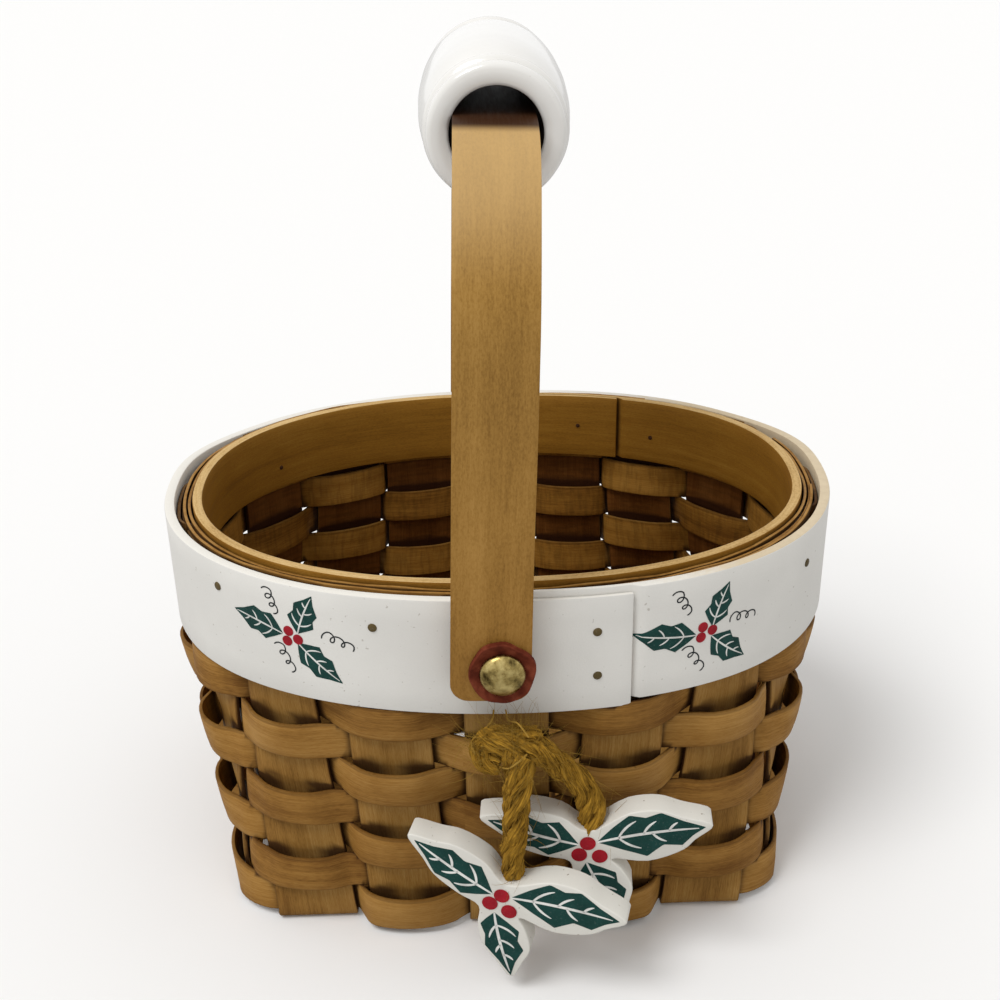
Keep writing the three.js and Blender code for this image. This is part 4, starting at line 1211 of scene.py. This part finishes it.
# %% Rivets and washers
RIVET_RADIUS, RIVET_HEAD_RADIUS, RIVET_HEAD_HEIGHT = 3.0, 7.3, 3.8
LEATHER_RADIUS, LEATHER_THICKNESS, SPACER_RADIUS, BURR_RADIUS, BURR_THICKNESS = 10.4, 1.6, 8.5, 6.5, 1.0
TOUCH_GAP, WASHER_ROUND, WASHER_WAVER, DOME_STEPS, DOME_EDGE = 0.3, 0.35, 0.09, 12, 0.5
HOLE_RADIUS = RIVET_RADIUS + 0.3
BAND_FACE_Y = band_oval.half_y - BAND_TAPER * (RIM_Z - PIVOT_Z) / BAND_HEIGHT
HOOP_INNER_Y = hoop_oval.half_y - HOOP_THICKNESS - HOOP_TAPER
SPACER_FAR_Y = HANDLE_LEG_Y - HANDLE_THICKNESS / 2 - TOUCH_GAP
LEATHER_Y = HANDLE_LEG_Y + HANDLE_THICKNESS / 2 + TOUCH_GAP
HEAD_Y = LEATHER_Y + LEATHER_THICKNESS + TOUCH_GAP
BURR_OUTER_Y = HOOP_INNER_Y - TOUCH_GAP


def rivet_profile(sign):
    """Half the outline of a rivet: its dome, its shank and its clenched end."""
    clench = BURR_OUTER_Y - BURR_THICKNESS - TOUCH_GAP
    outline = []
    for step in range(DOME_STEPS + 1):
        turn = math.pi / 2 * step / DOME_STEPS
        rise = (RIVET_HEAD_HEIGHT - DOME_EDGE) * math.cos(turn)
        outline.append((RIVET_HEAD_RADIUS * math.sin(turn), HEAD_Y + DOME_EDGE + rise))
    outline += [
        (RIVET_HEAD_RADIUS - 0.1, HEAD_Y + 0.15), (RIVET_HEAD_RADIUS - 0.5, HEAD_Y), (RIVET_RADIUS, HEAD_Y),
        (RIVET_RADIUS, clench), (RIVET_RADIUS + 1, clench), (RIVET_RADIUS + 0.9, clench - 0.7),
        (RIVET_RADIUS + 0.2, clench - 1.3), (0, clench - 1.5),
    ]
    return [(radius, sign * along) for radius, along in outline]


def washer_profile(outer, near, far, sign, lip):
    """A ring with rounded corners, whose rim may rise towards the head side by lip."""
    section = [
        (HOLE_RADIUS, near), (outer - WASHER_ROUND, near), (outer, near + WASHER_ROUND),
        (outer, far - WASHER_ROUND + lip), (outer - WASHER_ROUND, far + lip),
        (outer - 1.2, far + 0.7 * lip), (outer - 2.4, far), (HOLE_RADIUS, far), (HOLE_RADIUS, near),
    ]
    return [(radius, sign * along) for radius, along in section]


def waver(piece, amount, seed):
    """Moves points in or out from the rivet's line by a smooth amount that changes with the angle."""
    centre = Vector((PIVOT_X, 0, PIVOT_Z)) * MM
    for vertex in piece.data.vertices:
        away = vertex.co - centre
        away.y = 0
        way = away.normalized()
        grow = amount * noise.noise(Vector((way.x * 1.6, way.z * 1.6, seed)))
        vertex.co += away * grow * clamp((away.length / MM - HOLE_RADIUS) / 3)


# The name, the node, the outer radius, the near and the far face, the lip, and the steps round
leather_rings = [
    ("leather_washer_cut", "leather_washer", LEATHER_RADIUS, LEATHER_Y, HEAD_Y - TOUCH_GAP, 0.9, 56),
    ("spacer_leather", "spacer_washer", SPACER_RADIUS, BAND_FACE_Y + TOUCH_GAP, SPACER_FAR_Y, 0, 40),
]
burr_near = BURR_OUTER_Y - BURR_THICKNESS
burr_rings = [("burr_brass", "burr_washer", BURR_RADIUS, burr_near, BURR_OUTER_Y, 0, 40)]
for side, sign, seed in (("front", -1, 2.0), ("back", 1, 5.0)):
    piece = spun(f"{side}_brass_rivet", rivet_profile(sign), PIVOT_X, PIVOT_Z, 48)
    finish_piece(piece, brass, "brass", "basket", f"{side}_rivet")
    for rings, material, slot in ((leather_rings, leather, "leather"), (burr_rings, dark_bronze, "brass")):
        for name, node, outer, near, far, lip, steps in rings:
            profile = washer_profile(outer, near, far, sign, lip)
            piece = spun(f"{side}_{name}", profile, PIVOT_X, PIVOT_Z, steps)
            if lip:
                waver(piece, WASHER_WAVER, seed)
            finish_piece(piece, material, slot, "basket", f"{side}_{node}")
print("rivets: 2, washers: 6")

# %% [markdown]
# Jute twine is a few plies twisted together, and each ply is a bundle of
# rough fibres. A tube for each ply winds round the path, its skin is pushed
# in and out a little, and many thin hairs stand off it. The frame that
# carries the plies along the path must not spin by itself, so it is turned
# from point to point by the smallest turn that keeps it square to the path.

# %% Twisted twine
TWINE_RADIUS, PLIES, PLY_TWIST, PLY_SIDES = 3.7, 4, 30.0, 26
PLY_OFFSET, PLY_RADIUS, STRAND_PUSH, TUFT_PUSH = 0.56, 0.46, 1.1, 0.25
HAIR_STEPS, HAIR_SIDES = 6, 3
hair_draws = random.Random(23)


def path_frames(path):
    """A point, the way ahead, and two ways across it, for each point of a path."""
    ahead = (path[1] - path[0]).normalized()
    side = ahead.orthogonal().normalized()
    frames = []
    for point, before, after in zip(path, path[:1] + path, path[1:] + path[-1:]):
        new_ahead = (after - before).normalized()
        side = (ahead.rotation_difference(new_ahead) @ side).normalized()
        ahead = new_ahead
        frames.append((point, ahead, side, ahead.cross(side)))
    return frames


def tube_rings(path, radii, sides):
    turns = [2 * math.pi * step / sides for step in range(sides)]
    return [
        [point + (side * math.cos(turn) + up * math.sin(turn)) * radius for turn in turns]
        for (point, _, side, up), radius in zip(path_frames(path), radii)
    ]


def join(name, parts):
    """One piece from several, with its own mesh."""
    bpy.ops.object.select_all(action="DESELECT")
    for part in parts:
        part.select_set(True)
    bpy.context.view_layer.objects.active = parts[0]
    bpy.ops.object.join()
    piece = bpy.context.object
    piece.name = piece.data.name = name
    return piece


def ply(name, frames, travel, sizes, number, seed):
    """One ply that winds round a path, with its skin pushed in and out like a bundle of fibres."""
    line, radii = [], []
    for (point, _, side, up), along, size in zip(frames, travel, sizes):
        uneven = 0.14 * ripple(seed + number + 40, along, 8)
        turn = 2 * math.pi * (number / PLIES + along / PLY_TWIST + uneven)
        loose = 1 + 0.25 * ripple(seed + number, along, 7)
        line.append(point + (side * math.cos(turn) + up * math.sin(turn)) * size * PLY_OFFSET * loose)
        radii.append(size * (PLY_RADIUS + 0.07 * ripple(seed + number + 60, along, 5)))
    rings = tube_rings(line, radii, PLY_SIDES)
    for ring, middle, along in zip(rings, line, travel):
        for place, point in enumerate(ring):
            angle = 2 * math.pi * place / PLY_SIDES + along * 0.12
            where = Vector((math.cos(angle), math.sin(angle), 0)) * 1.9
            where.z = along * 0.06 + seed * 3 + number * 9
            tuft = noise.noise(Vector((place * 0.6, along * 0.45, seed * 7 + number)))
            push = STRAND_PUSH * noise.noise(where * 1.6) + TUFT_PUSH * tuft
            ring[place] = point + (point - middle).normalized() * push
    return loft(f"{name}_ply_{number}", rings, start=number * 300 + seed * 1000)


def rope(name, path, radius=TWINE_RADIUS, seed=1, flare=(1.0, 1.0)):
    """Plies wound round a path. flare is how many times the radius it is at its start and at its end."""
    travel = travels(path)
    frames = path_frames(path)
    sizes = [radius * (flare[0] + (flare[1] - flare[0]) * along / travel[-1]) for along in travel]
    piece = join(name, [ply(name, frames, travel, sizes, number, seed) for number in range(PLIES)])
    smooth(piece, 75)
    return piece


def hair(start, way, length, bend, radius):
    """One thin fibre that leaves a point, and bends as it goes."""
    points = [start]
    for _ in range(HAIR_STEPS):
        way = (way + bend).normalized()
        points.append(points[-1] + way * length / HAIR_STEPS)
    return tube_rings(points, [radius * (1 - 0.11 * step) for step in range(HAIR_STEPS + 1)], HAIR_SIDES)


def hairs(name, path, count, reach, radius, lengths, lift):
    """Loose fibres on a twine: most lie along it, some stand off, and all start at its skin."""
    frames = path_frames(path)
    points, faces, uvs = [], [], []
    for _ in range(count):
        point, ahead, side, up = frames[hair_draws.randrange(1, len(frames) - 1)]
        turn = hair_draws.uniform(0, 2 * math.pi)
        away = side * math.cos(turn) + up * math.sin(turn)
        around = ahead.cross(away)
        start = point + away * radius * hair_draws.uniform(0.90, 1.06)
        forward = ahead * hair_draws.choice((-1, 1))
        stand = abs(hair_draws.gauss(0, lift))
        way = (forward + around * hair_draws.uniform(-0.1, 0.6) + away * stand).normalized()
        bend = Vector([hair_draws.gauss(0, 0.16) for _ in range(3)])
        bend -= away * (0.20 - 0.16 * min(stand, 1)) * reach
        length = hair_draws.uniform(*lengths)
        base = len(points)
        for ring in hair(start, way, length, bend, hair_draws.uniform(0.06, 0.125)):
            points += ring
        for ring in range(HAIR_STEPS):
            for corner in range(HAIR_SIDES):
                low, beside = base + ring * HAIR_SIDES, (corner + 1) % HAIR_SIDES
                high = low + HAIR_SIDES
                faces.append((low + corner, low + beside, high + beside, high + corner))
                uvs.append(((ring, 0), (ring, 1), (ring + 1, 1), (ring + 1, 0)))
        tip = base + HAIR_STEPS * HAIR_SIDES
        faces += [(base + 2, base + 1, base), (tip, tip + 1, tip + 2)]
        uvs += [((0, 0), (0, 1), (0, 1))] * 2
    piece = mesh_piece(name, points, faces, uvs)
    select_only(piece)
    bpy.ops.object.shade_smooth()
    return piece


# %% [markdown]
# The two legs are the free twine. Each leaves the knot, hangs down, and ends
# in a hole in the top edge of its cut-out. Their length is set by where the
# cut-outs hang.

# %% Twine legs
def length_of(path):
    return travels(path)[-1]


front_leg_line = [
    (3.4, -108.4, 88.4), (3, -109.5, 83.1), (2.3, -110.6, 74), (1.4, -111.8, 62), (0.6, -112.5, 54),
    (0.5, -112.5, 44),
]
rear_leg_line = [
    (5.2, -103.4, 89.4), (10, -102.8, 85.4), (17.4, -102.3, 78.4), (24.2, -102, 70.2), (27.2, -102, 61),
    (27.6, -102, 53),
]


def smooth_path(line, steps):
    return curve_through([Vector(point) for point in line], steps)


def twine_leg(place, line, seed, flare):
    path = smooth_path(line, 9)
    piece = rope(f"{place}_twine", path, seed=seed, flare=flare)
    finish_piece(piece, jute, "jute", f"{place}_ornament", f"{place}_twine_leg")
    fuzz = hairs(f"{place}_twine_hairs", path, 190, 1.0, TWINE_RADIUS, (4, 15), 0.28)
    finish_piece(fuzz, jute_hair, "jute", f"{place}_ornament")
    return piece, fuzz, path


legs = {
    "front": twine_leg("front", front_leg_line, 1, (1.34, 1.0)),
    "rear": twine_leg("rear", rear_leg_line, 2, (1.12, 1.34)),
}
print("twine lengths in mm:", [round(length_of(path), 1) for _, _, path in legs.values()])

# %% [markdown]
# The knot is the same twine, looped over itself. One loop comes from behind
# and falls to the left, one wraps over the front, and the ends go down into
# the legs. A pale thread ties the knot to the weave under the band.

# %% Jute knot
KNOT_STRAND_RADIUS, THREAD_RADIUS = 3.5, 0.28
knot_lines = [
    [
        (6, -99.5, 88.5), (1, -100.6, 90.2), (-5, -103, 91), (-9, -105.5, 89.4), (-8, -107.5, 85.8),
        (-3, -108, 84),
    ],
    [
        (9, -101.5, 89.5), (5, -104.5, 91), (1.5, -107.8, 91), (1.6, -109.6, 87), (2.8, -109.8, 83),
        (3, -109.4, 79),
    ],
    [
        (-8.5, -104.6, 91.5), (-3, -107.6, 92.2), (3.6, -108.2, 90.6), (9.5, -106.2, 87),
        (14.4, -104, 82.2), (18, -102.5, 77),
    ],
]
knot_paths = [smooth_path(line, 9) for line in knot_lines]
knot_piece = join("jute_knot_loops", [
    rope(f"knot_loop_{number}", path, KNOT_STRAND_RADIUS, seed=5 + number)
    for number, path in enumerate(knot_paths)
])
smooth(knot_piece, 75)
finish_piece(knot_piece, jute, "jute", "basket", "jute_knot")
knot_fuzz = join("jute_knot_hairs", [
    hairs(f"knot_hairs_{number}", path, 110, 0.8, KNOT_STRAND_RADIUS, (6, 20), 0.30)
    for number, path in enumerate(knot_paths)
])
finish_piece(knot_fuzz, jute_hair, "jute", "basket")
thread_lines = [
    [
        (-4.3, -95.4, 96.5), (-4.6, -98.4, 95.4), (-8.2, -104.6, 94.2), (-11.6, -106.5, 92.0),
        (-10.6, -109.4, 89.4),
    ],
    [(-0.4, -95.4, 96.5), (0.2, -99.0, 95.0), (3.2, -105.4, 97.6), (6.4, -109.8, 95.2)],
    [(5.6, -114.2, 92.0), (2.4, -114.6, 89.0), (-0.4, -113.5, 86.4), (-3.6, -109.2, 84.6)],
]
thread_paths = [smooth_path(line, 6) for line in thread_lines]
thread_piece = join("knot_tie_thread", [
    loft(f"thread_{number}", tube_rings(path, [THREAD_RADIUS] * len(path), 6))
    for number, path in enumerate(thread_paths)
])
smooth(thread_piece, 60)
finish_piece(thread_piece, jute_hair, "jute", "basket")
print("knot faces:", len(knot_piece.data.polygons), "hair faces:", len(knot_fuzz.data.polygons))

# %% [markdown]
# Painted shapes are modelled too. A leaf is a strip along its middle line,
# and its two sides have their own widths: out to a tooth, in again, and out
# to the next one. A berry is a strip with a round width, and a vein or a
# tendril is a very narrow one. Each strip is laid on its surface by a function
# that turns flat coordinates into places, so one helper prints everywhere.

# %% Printed shapes
def printed(name, lines, surface, widths_at, steps_across=4, thick=0.1, lift=0.05):
    """A thin painted strip along each flat line, with its left and right widths, laid on a surface."""
    parts = []
    for number, line in enumerate(lines):
        sections = []
        count = len(line)
        for index, point in enumerate(line):
            before, after = line[max(index - 1, 0)], line[min(index + 1, count - 1)]
            way = (after - before).normalized()
            aside = Vector((-way.y, way.x))
            left, right = (max(width, 0.015) for width in widths_at(number, index / (count - 1)))
            section = []
            for step in range(steps_across + 1):
                spot = point + aside * (left - (left + right) * step / steps_across)
                section.append(surface(spot.x, spot.y, lift))
            sections.append(section)
        parts.append(strip(f"{name}_{number}", sections, thick, 0))
    return join(name, parts) if len(parts) > 1 else parts[0]


def straight(start, end, steps, bend=0.0):
    """A flat line from start to end, bowed to its left by bend."""
    start, end = Vector(start), Vector(end)
    aside = Vector((start.y - end.y, end.x - start.x)).normalized()
    line = []
    for step in range(steps + 1):
        part = step / steps
        line.append(start.lerp(end, part) + aside * bend * 4 * part * (1 - part))
    return line


# The side veins: their side, the share of the leaf's length where they leave, and how far out they go
VEIN_PLACES = [(1, 0.20, 0.78), (1, 0.47, 0.62), (1, 0.69, 0.85), (-1, 0.20, 0.76), (-1, 0.56, 0.72)]


class HollyLeaf:
    """A holly leaf from its base to its tip. Each side has two teeth: (share of the length, width)."""

    def __init__(self, base, tip, left, right, bend=0.0):
        self.base, self.tip, self.bend = Vector(base), Vector(tip), bend
        self.length, self.way = (self.tip - self.base).length, (self.tip - self.base).normalized()
        self.sides = {1: self.edge_of(left), -1: self.edge_of(right)}

    def edge_of(self, teeth):
        (first, wide), (second, slim) = teeth
        return [
            (0.0, 0.2), (first * 0.5, wide * 0.55), (first, wide),
            ((first + second) / 2, min(wide, slim) * 0.84), (second, slim),
            ((second + 1) / 2, slim * 0.42), (1.0, 0.05),
        ]

    def width(self, side, part):
        edge = self.sides[side]
        for (low, width), (high, next_width) in zip(edge, edge[1:]):
            if part <= high:
                return width + (next_width - width) * (part - low) / (high - low)
        return 0.05

    def widths(self, part):
        return self.width(1, part), self.width(-1, part)

    def middle(self, steps, share=1.0):
        return straight(self.base, self.base.lerp(self.tip, share), steps, self.bend)

    def aside(self, side, width):
        return Vector((-self.way.y, self.way.x)) * side * width

    def place(self, part, side=1, width=0):
        return self.base + (self.tip - self.base) * part + self.aside(side, width)

    def veins(self, half):
        """The middle vein and the side veins, as flat lines, each with its half width."""
        middle = self.middle(24, 0.94)
        veins = [(middle, half)]
        for side, part, reach in VEIN_PLACES:
            root = middle[round(part * 24)]
            out = self.width(side, part + 0.11) * reach
            end = root + self.way * self.length * 0.20 * (1.15 - part) + self.aside(side, out)
            veins.append((straight(root, end, 8, side * out * 0.13), half * 0.85))
        return veins


def disc_line(centre, radius, steps=16):
    x, y = centre
    places = [-math.cos(math.pi * step / steps) for step in range(steps + 1)]
    return [Vector((x + radius * place, y)) for place in places]


def curl(start, way, length, size, turns=3, steps=64):
    """A tendril: a line that loops as it goes, with smaller loops at its end."""
    start, way = Vector(start), Vector(way).normalized()
    aside = Vector((-way.y, way.x))
    line = []
    for step in range(steps + 1):
        part = step / steps
        turn = 2 * math.pi * turns * part
        loop = size * (1 - 0.35 * part) * min(1, 6 * part, 6 * (1 - part) + 0.3)
        ahead, across = length * part - loop * math.sin(turn), loop * (1 - math.cos(turn))
        line.append(start + way * ahead + aside * across)
    return line


def even(half):
    return half, half


def taper(part):
    return math.sin(math.pi * (0.12 + 0.86 * part)) ** 0.5


def berry(radius, part):
    """The half width of a disc of that radius at a share of its width."""
    return radius * math.sqrt(max(1 - math.cos(math.pi * part) ** 2, 0)) if 0 < part < 1 else 0


def holly_prints(leaves, steps, vein_half, spots, berry_radius, vein_sizes, berry_sizes):
    """Leaves, veins and berries, each with a name, a paint, flat lines, their widths, and the steps
    across, the thickness and the lift."""
    veins = [vein for leaf in leaves for vein in leaf.veins(vein_half)]
    vein_lines = [line for line, _ in veins]
    leaf_lines = [leaf.middle(steps) for leaf in leaves]
    discs = [disc_line(spot, berry_radius) for spot in spots]
    return [
        ("leaf", leaf_green, leaf_lines, lambda n, part: leaves[n].widths(part), ()),
        ("vein", vein_white, vein_lines, lambda n, part: even(veins[n][1] * taper(part)), vein_sizes),
        ("berry", berry_red, discs, lambda n, part: even(berry(berry_radius, part)), berry_sizes),
    ]


def print_all(name, prints, surface, slot, body):
    """Makes each print on a surface, and returns the pieces."""
    pieces = []
    for kind, material, lines, widths_at, sizes in prints:
        piece = printed(name.format(kind), lines, surface, widths_at, *sizes)
        pieces.append(finish_piece(piece, material, slot, body))
    return pieces


# %% [markdown]
# Each cut-out is a sawn shape of thick wood with three leaves. Its outline is
# drawn once as a smooth closed line round the leaves, filled, made thick by
# Solidify and softened by Bevel. The painted leaves, veins and berries then
# go on its front, a little inside the edge, so that a white border stays.

# %% Holly cut-outs
ORNAMENT_THICKNESS = 9.5
CUT_OUT_LEAVES = [
    HollyLeaf((-1.7, -5.1), (3.4, -30.3), [(0.30, 7.3), (0.62, 7.2)], [(0.17, 5.3), (0.50, 5.4)], -0.7),
    HollyLeaf((4.2, 1.8), (39.4, -2.2), [(0.34, 7.9), (0.62, 7.2)], [(0.42, 9.0), (0.77, 6.3)], 0.8),
    HollyLeaf((-2.2, 2.6), (-27.6, 20.2), [(0.27, 6.6), (0.61, 5.8)], [(0.27, 7.0), (0.63, 6.0)], 0.6),
]
WOOD_MARGIN, WOOD_TIPS, WOOD_NOTCHES = 1.5, [1.0, 2.6, 3.0], [9.0, 7.0, 7.8]
CUT_OUT_EDGE, CUT_OUT_VEIN_HALF = 0.8, 0.50
CUT_OUT_BERRIES, CUT_OUT_BERRY_RADIUS = [(0.9, 2.2), (-3.1, -1.3), (3.2, -3.8)], 2.6


def cut_out_outline():
    """The closed outline of the wood: a margin round every leaf, and a notch between each two."""
    corners = []
    for leaf, after, tip, notch in zip(
        CUT_OUT_LEAVES, CUT_OUT_LEAVES[1:] + CUT_OUT_LEAVES[:1], WOOD_TIPS, WOOD_NOTCHES
    ):
        for side in (-1, 1):
            (first, wide), (second, slim) = leaf.sides[side][2:5:2]
            edge = [(first, wide), (second, slim), ((1 + second) / 2, slim * 0.5)]
            edge = [leaf.place(part, side, width + WOOD_MARGIN) for part, width in edge]
            corners += edge + [leaf.place(1 + tip / leaf.length)] if side < 0 else edge[::-1]
        middle = (leaf.place(0.3).normalized() + after.place(0.3).normalized()).normalized()
        corners.append(middle * notch)
    return curve_through([corner.to_3d() for corner in corners], 4, closed=True)


class FlatPlace:
    """Turns the flat coordinates of a cut-out into places: x to the right, y up, and depth to the front."""

    def __init__(self, x, y, z, facing, tilt):
        self.origin = Vector((x, y, z))
        self.facing = Matrix.Rotation(math.radians(facing), 3, "Z")
        self.tilt = Matrix.Rotation(math.radians(tilt), 2)

    def __call__(self, x, y, depth):
        flat = self.tilt @ Vector((x, y))
        return self.origin + self.facing @ Vector((flat.x, -depth, flat.y))


def cut_out(place, surface):
    outline = cut_out_outline()
    points = [surface(corner.x, corner.y, 0) for corner in outline]
    piece = mesh_piece(f"{place}_holly_wood", points, [list(range(len(points)))])
    apply_modifier(piece, "SOLIDIFY", thickness=ORNAMENT_THICKNESS * MM, offset=0)
    round_edges(piece, CUT_OUT_EDGE, 3)
    smooth(piece)
    body = f"{place}_ornament"
    finish_piece(piece, cut_out_paint, "ornament_paint", body, f"{place}_holly_cut_out")
    front = ORNAMENT_THICKNESS / 2

    def on_front(x, y, lift):
        return surface(x, y, front + lift)

    prints = holly_prints(
        CUT_OUT_LEAVES, 48, CUT_OUT_VEIN_HALF, CUT_OUT_BERRIES, CUT_OUT_BERRY_RADIUS,
        (2, 0.08, 0.12), (6, 0.14, 0.16),
    )
    return [piece] + print_all(place + "_{}_paint", prints, on_front, "ornament_paint", body)


cut_out_places = {"front": FlatPlace(-3, -112.5, 37.5, -14, 0), "rear": FlatPlace(25.5, -102, 49, -4, 17)}
for place, (twine, fuzz, path) in legs.items():
    parts = cut_out(place, cut_out_places[place])
    line = [[v * MM for v in point] for point in path]
    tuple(line[0])
    length_of(path) * MM
print("cut-outs:", len(cut_out_places))

# %% [markdown]
# The band carries two small sprigs of holly with curled tendrils. They are
# laid on the band by distance along it and height, so they bend with the rim.

# %% Sprigs on the band
def on_band(distance, z, lift):
    travel = (distance - outer_band.start) % band_oval.length
    if travel < BAND_LAP_LENGTH:
        travel += band_oval.length
    outer, _ = outer_band.skins(travel)
    down = RIM_Z + outer_band.lift(travel) - z
    return outer_band.place(travel, outer - lift, down)


LEAF_TEETH = [(0.30, 1.0), (0.63, 0.86)], [(0.27, 0.96), (0.60, 0.90)]


def sprig_leaf(centre, base, tip, half, bend):
    left, right = ([(share, width * half) for share, width in side] for side in LEAF_TEETH)
    return HollyLeaf(centre + Vector(base), centre + Vector(tip), left, right, bend)


BERRY_RADIUS, CURL_SIZE, VEIN_HALF, CURL_HALF = 1.85, 1.75, 0.31, 0.23

# For each sprig: its centre, its leaves, its berries, and its tendrils
sprigs = [
    (
        (-69.5, 117.6),
        [
            ((-2.8, 0.2), (-22.4, 4.4), 5.4, -0.4), ((3.0, 1.4), (9.2, 16.2), 5.1, 0.5),
            ((2.8, -2.2), (17.8, -14.8), 5.3, -0.5),
        ],
        [(-0.5, 1.6), (-1.2, -2.2), (2.9, -0.9)],
        [
            ((-9.6, 15.6), (0.45, -1), 9.6), ((11.4, 1.4), (1, -0.32), 11.5),
            ((-6.6, -4.4), (0.62, -1), 11.5),
        ],
    ),
    (
        (65.0, 115.6),
        [
            ((-3.2, -0.4), (-25.6, 3.6), 5.5, 0.5), ((3.0, 1.4), (8.8, 16.4), 5.0, 0.4),
            ((2.8, -2.2), (17.0, -13.8), 5.3, -0.6),
        ],
        [(-0.7, 1.9), (-1.3, -1.8), (3.0, 0.0)],
        [
            ((-12.4, 16.4), (0.66, -1), 10.2), ((9.8, 1.0), (1, -0.1), 11.0),
            ((-8.2, -4.8), (0.75, -1), 12.2),
        ],
    ),
]
leaves, spots, curl_lines = [], [], []
for (x, z), sprig_leaves, berries, tendrils in sprigs:
    centre = Vector((band_oval.distance_at_x(x), z))
    leaves += [sprig_leaf(centre, *leaf) for leaf in sprig_leaves]
    spots += [centre + Vector(spot) for spot in berries]
    curl_lines += [curl(centre + Vector(start), way, length, CURL_SIZE) for start, way, length in tendrils]
prints = holly_prints(leaves, 40, VEIN_HALF, spots, BERRY_RADIUS, (2, 0.06, 0.1), (6, 0.08, 0.1))
prints.append(("tendril", tendril_ink, curl_lines, lambda n, part: even(CURL_HALF), (2, 0.06, 0.04)))
print_all("band_{}_print", prints, on_band, "white_paint", "basket")
print("printed pieces on the band:", len(prints))

# %% [markdown]
# Small nails hold the laps of the hoops. Their heads are flat domes, sunk
# slightly into the paint. Each head is a short loft of rings, turned to face
# out from the rim.

# %% Rim nails
NAIL_RADIUS, INNER_NAIL_RADIUS = 1.5, 0.85

# Where each nail of the band is: x, z, and whether it is on the back half
nail_places = [
    (29.2, 122.5, False), (29.4, 106.3, False), (-42, 125.1, False), (-94.1, 127.5, False),
    (104, 124, False), (62, 124, True), (14, 110, True), (-38, 125, True), (-92, 124, True),
]


def nail_head(place, outward, size):
    """A flat dome at a place, from rings that get smaller as they rise."""
    turn = outward.to_3d().to_track_quat("Z", "Y").to_matrix()
    rings = []
    for radius, height in ((size, -0.5), (size, 0.12), (0.92 * size, 0.3), (0.6 * size, 0.44), (0.2, 0.5)):
        ring = []
        for step in range(16):
            angle = math.pi * step / 8
            corner = Vector((radius * math.cos(angle), radius * math.sin(angle), height))
            ring.append(place + turn @ corner)
        rings.append(ring)
    return loft("nail", rings)


def nail_heads(name, places, material):
    """One piece from the heads at these places, each with its way out and its size."""
    piece = join(name, [nail_head(*place) for place in places])
    smooth(piece, 40)
    finish_piece(piece, material, "brass", "basket")


heads = []
for x, z, is_back in nail_places:
    distance = band_oval.distance_at_x(x, is_back)
    heads.append((on_band(distance, z, 0), band_oval.normal(distance), NAIL_RADIUS))
nail_heads("rim_nails", heads, dark_bronze)
inner_heads = []
for x, z in ((36, 123.6), (66, 121.4), (-88, 119)):
    distance = hoop_oval.distance_at_x(x, True)
    normal = hoop_oval.normal(distance)
    point = hoop_oval.point(distance) - normal * (HOOP_THICKNESS + HOOP_TAPER * (RIM_Z - z) / HOOP_HEIGHT)
    inner_heads.append((Vector((*point, z)), -normal, INNER_NAIL_RADIUS))
nail_heads("inner_hoop_nails", inner_heads, rusted_nail)
print("nails:", len(heads) + len(inner_heads))

# %% [markdown]
# The floor is a plain pale sheet. It keeps the basket's soft shadow, and for
# the camera it is a little brighter, so that the background comes out white
# without more light on the basket.

# %% Floor, light and world
FLOOR_TONE, FLOOR_SEEN_TONE = 0.60, 0.90
ROOM_COLOUR, ROOM_STRENGTH = (1, 0.99, 0.97, 1), 0.70
SUN_STRENGTH, SUN_ANGLE, SUN_FROM = 1.5, math.radians(28), (-0.42, -0.32, 0.85)


def add_floor():
    bpy.ops.object.select_all(action="DESELECT")
    bpy.ops.mesh.primitive_plane_add(size=12, location=(0, 0, 0))
    floor = bpy.context.object
    floor.name = "floor"
    paint = Finish("pale_floor", Roughness=0.9, Specular_IOR_Level=0.1)
    seen = paint.node("ShaderNodeLightPath")
    colour = paint.mix(seen, (FLOOR_TONE,) * 3, (FLOOR_SEEN_TONE,) * 3)
    floor.data.materials.append(paint.wire(Base_Color=colour))


def add_world():
    """A soft room that lights the basket, and plain white where the room itself is seen."""
    world = bpy.data.worlds.new("soft_room")
    bpy.context.scene.world = world
    world.use_nodes = True
    nodes, links = world.node_tree.nodes, world.node_tree.links
    nodes.clear()
    rays = nodes.new("ShaderNodeLightPath").outputs
    seen = rays["Is Camera Ray"]
    for ray in ("Is Glossy Ray", "Is Transmission Ray"):
        either = nodes.new("ShaderNodeMath")
        either.operation = "MAXIMUM"
        links.new(seen, either.inputs[0])
        links.new(rays[ray], either.inputs[1])
        seen = either.outputs[0]
    blend, output = nodes.new("ShaderNodeMixShader"), nodes.new("ShaderNodeOutputWorld")
    links.new(seen, blend.inputs[0])
    for place, colour, strength in ((1, ROOM_COLOUR, ROOM_STRENGTH), (2, (1, 1, 1, 1), 1.0)):
        background = nodes.new("ShaderNodeBackground")
        background.inputs["Color"].default_value = colour
        background.inputs["Strength"].default_value = strength
        links.new(background.outputs[0], blend.inputs[place])
    links.new(blend.outputs[0], output.inputs[0])


def add_sun(name):
    light = bpy.data.lights.new(name, "SUN")
    light.energy, light.angle = SUN_STRENGTH, SUN_ANGLE
    lamp = bpy.data.objects.new(name, light)
    bpy.context.scene.collection.objects.link(lamp)
    lamp.rotation_mode = "QUATERNION"
    lamp.rotation_quaternion = Vector(SUN_FROM).to_track_quat("Z", "Y")


add_floor()
add_world()
add_sun("wide_soft_key")
bpy.context.scene.view_settings.view_transform = "Standard"
print("lamps: 1")
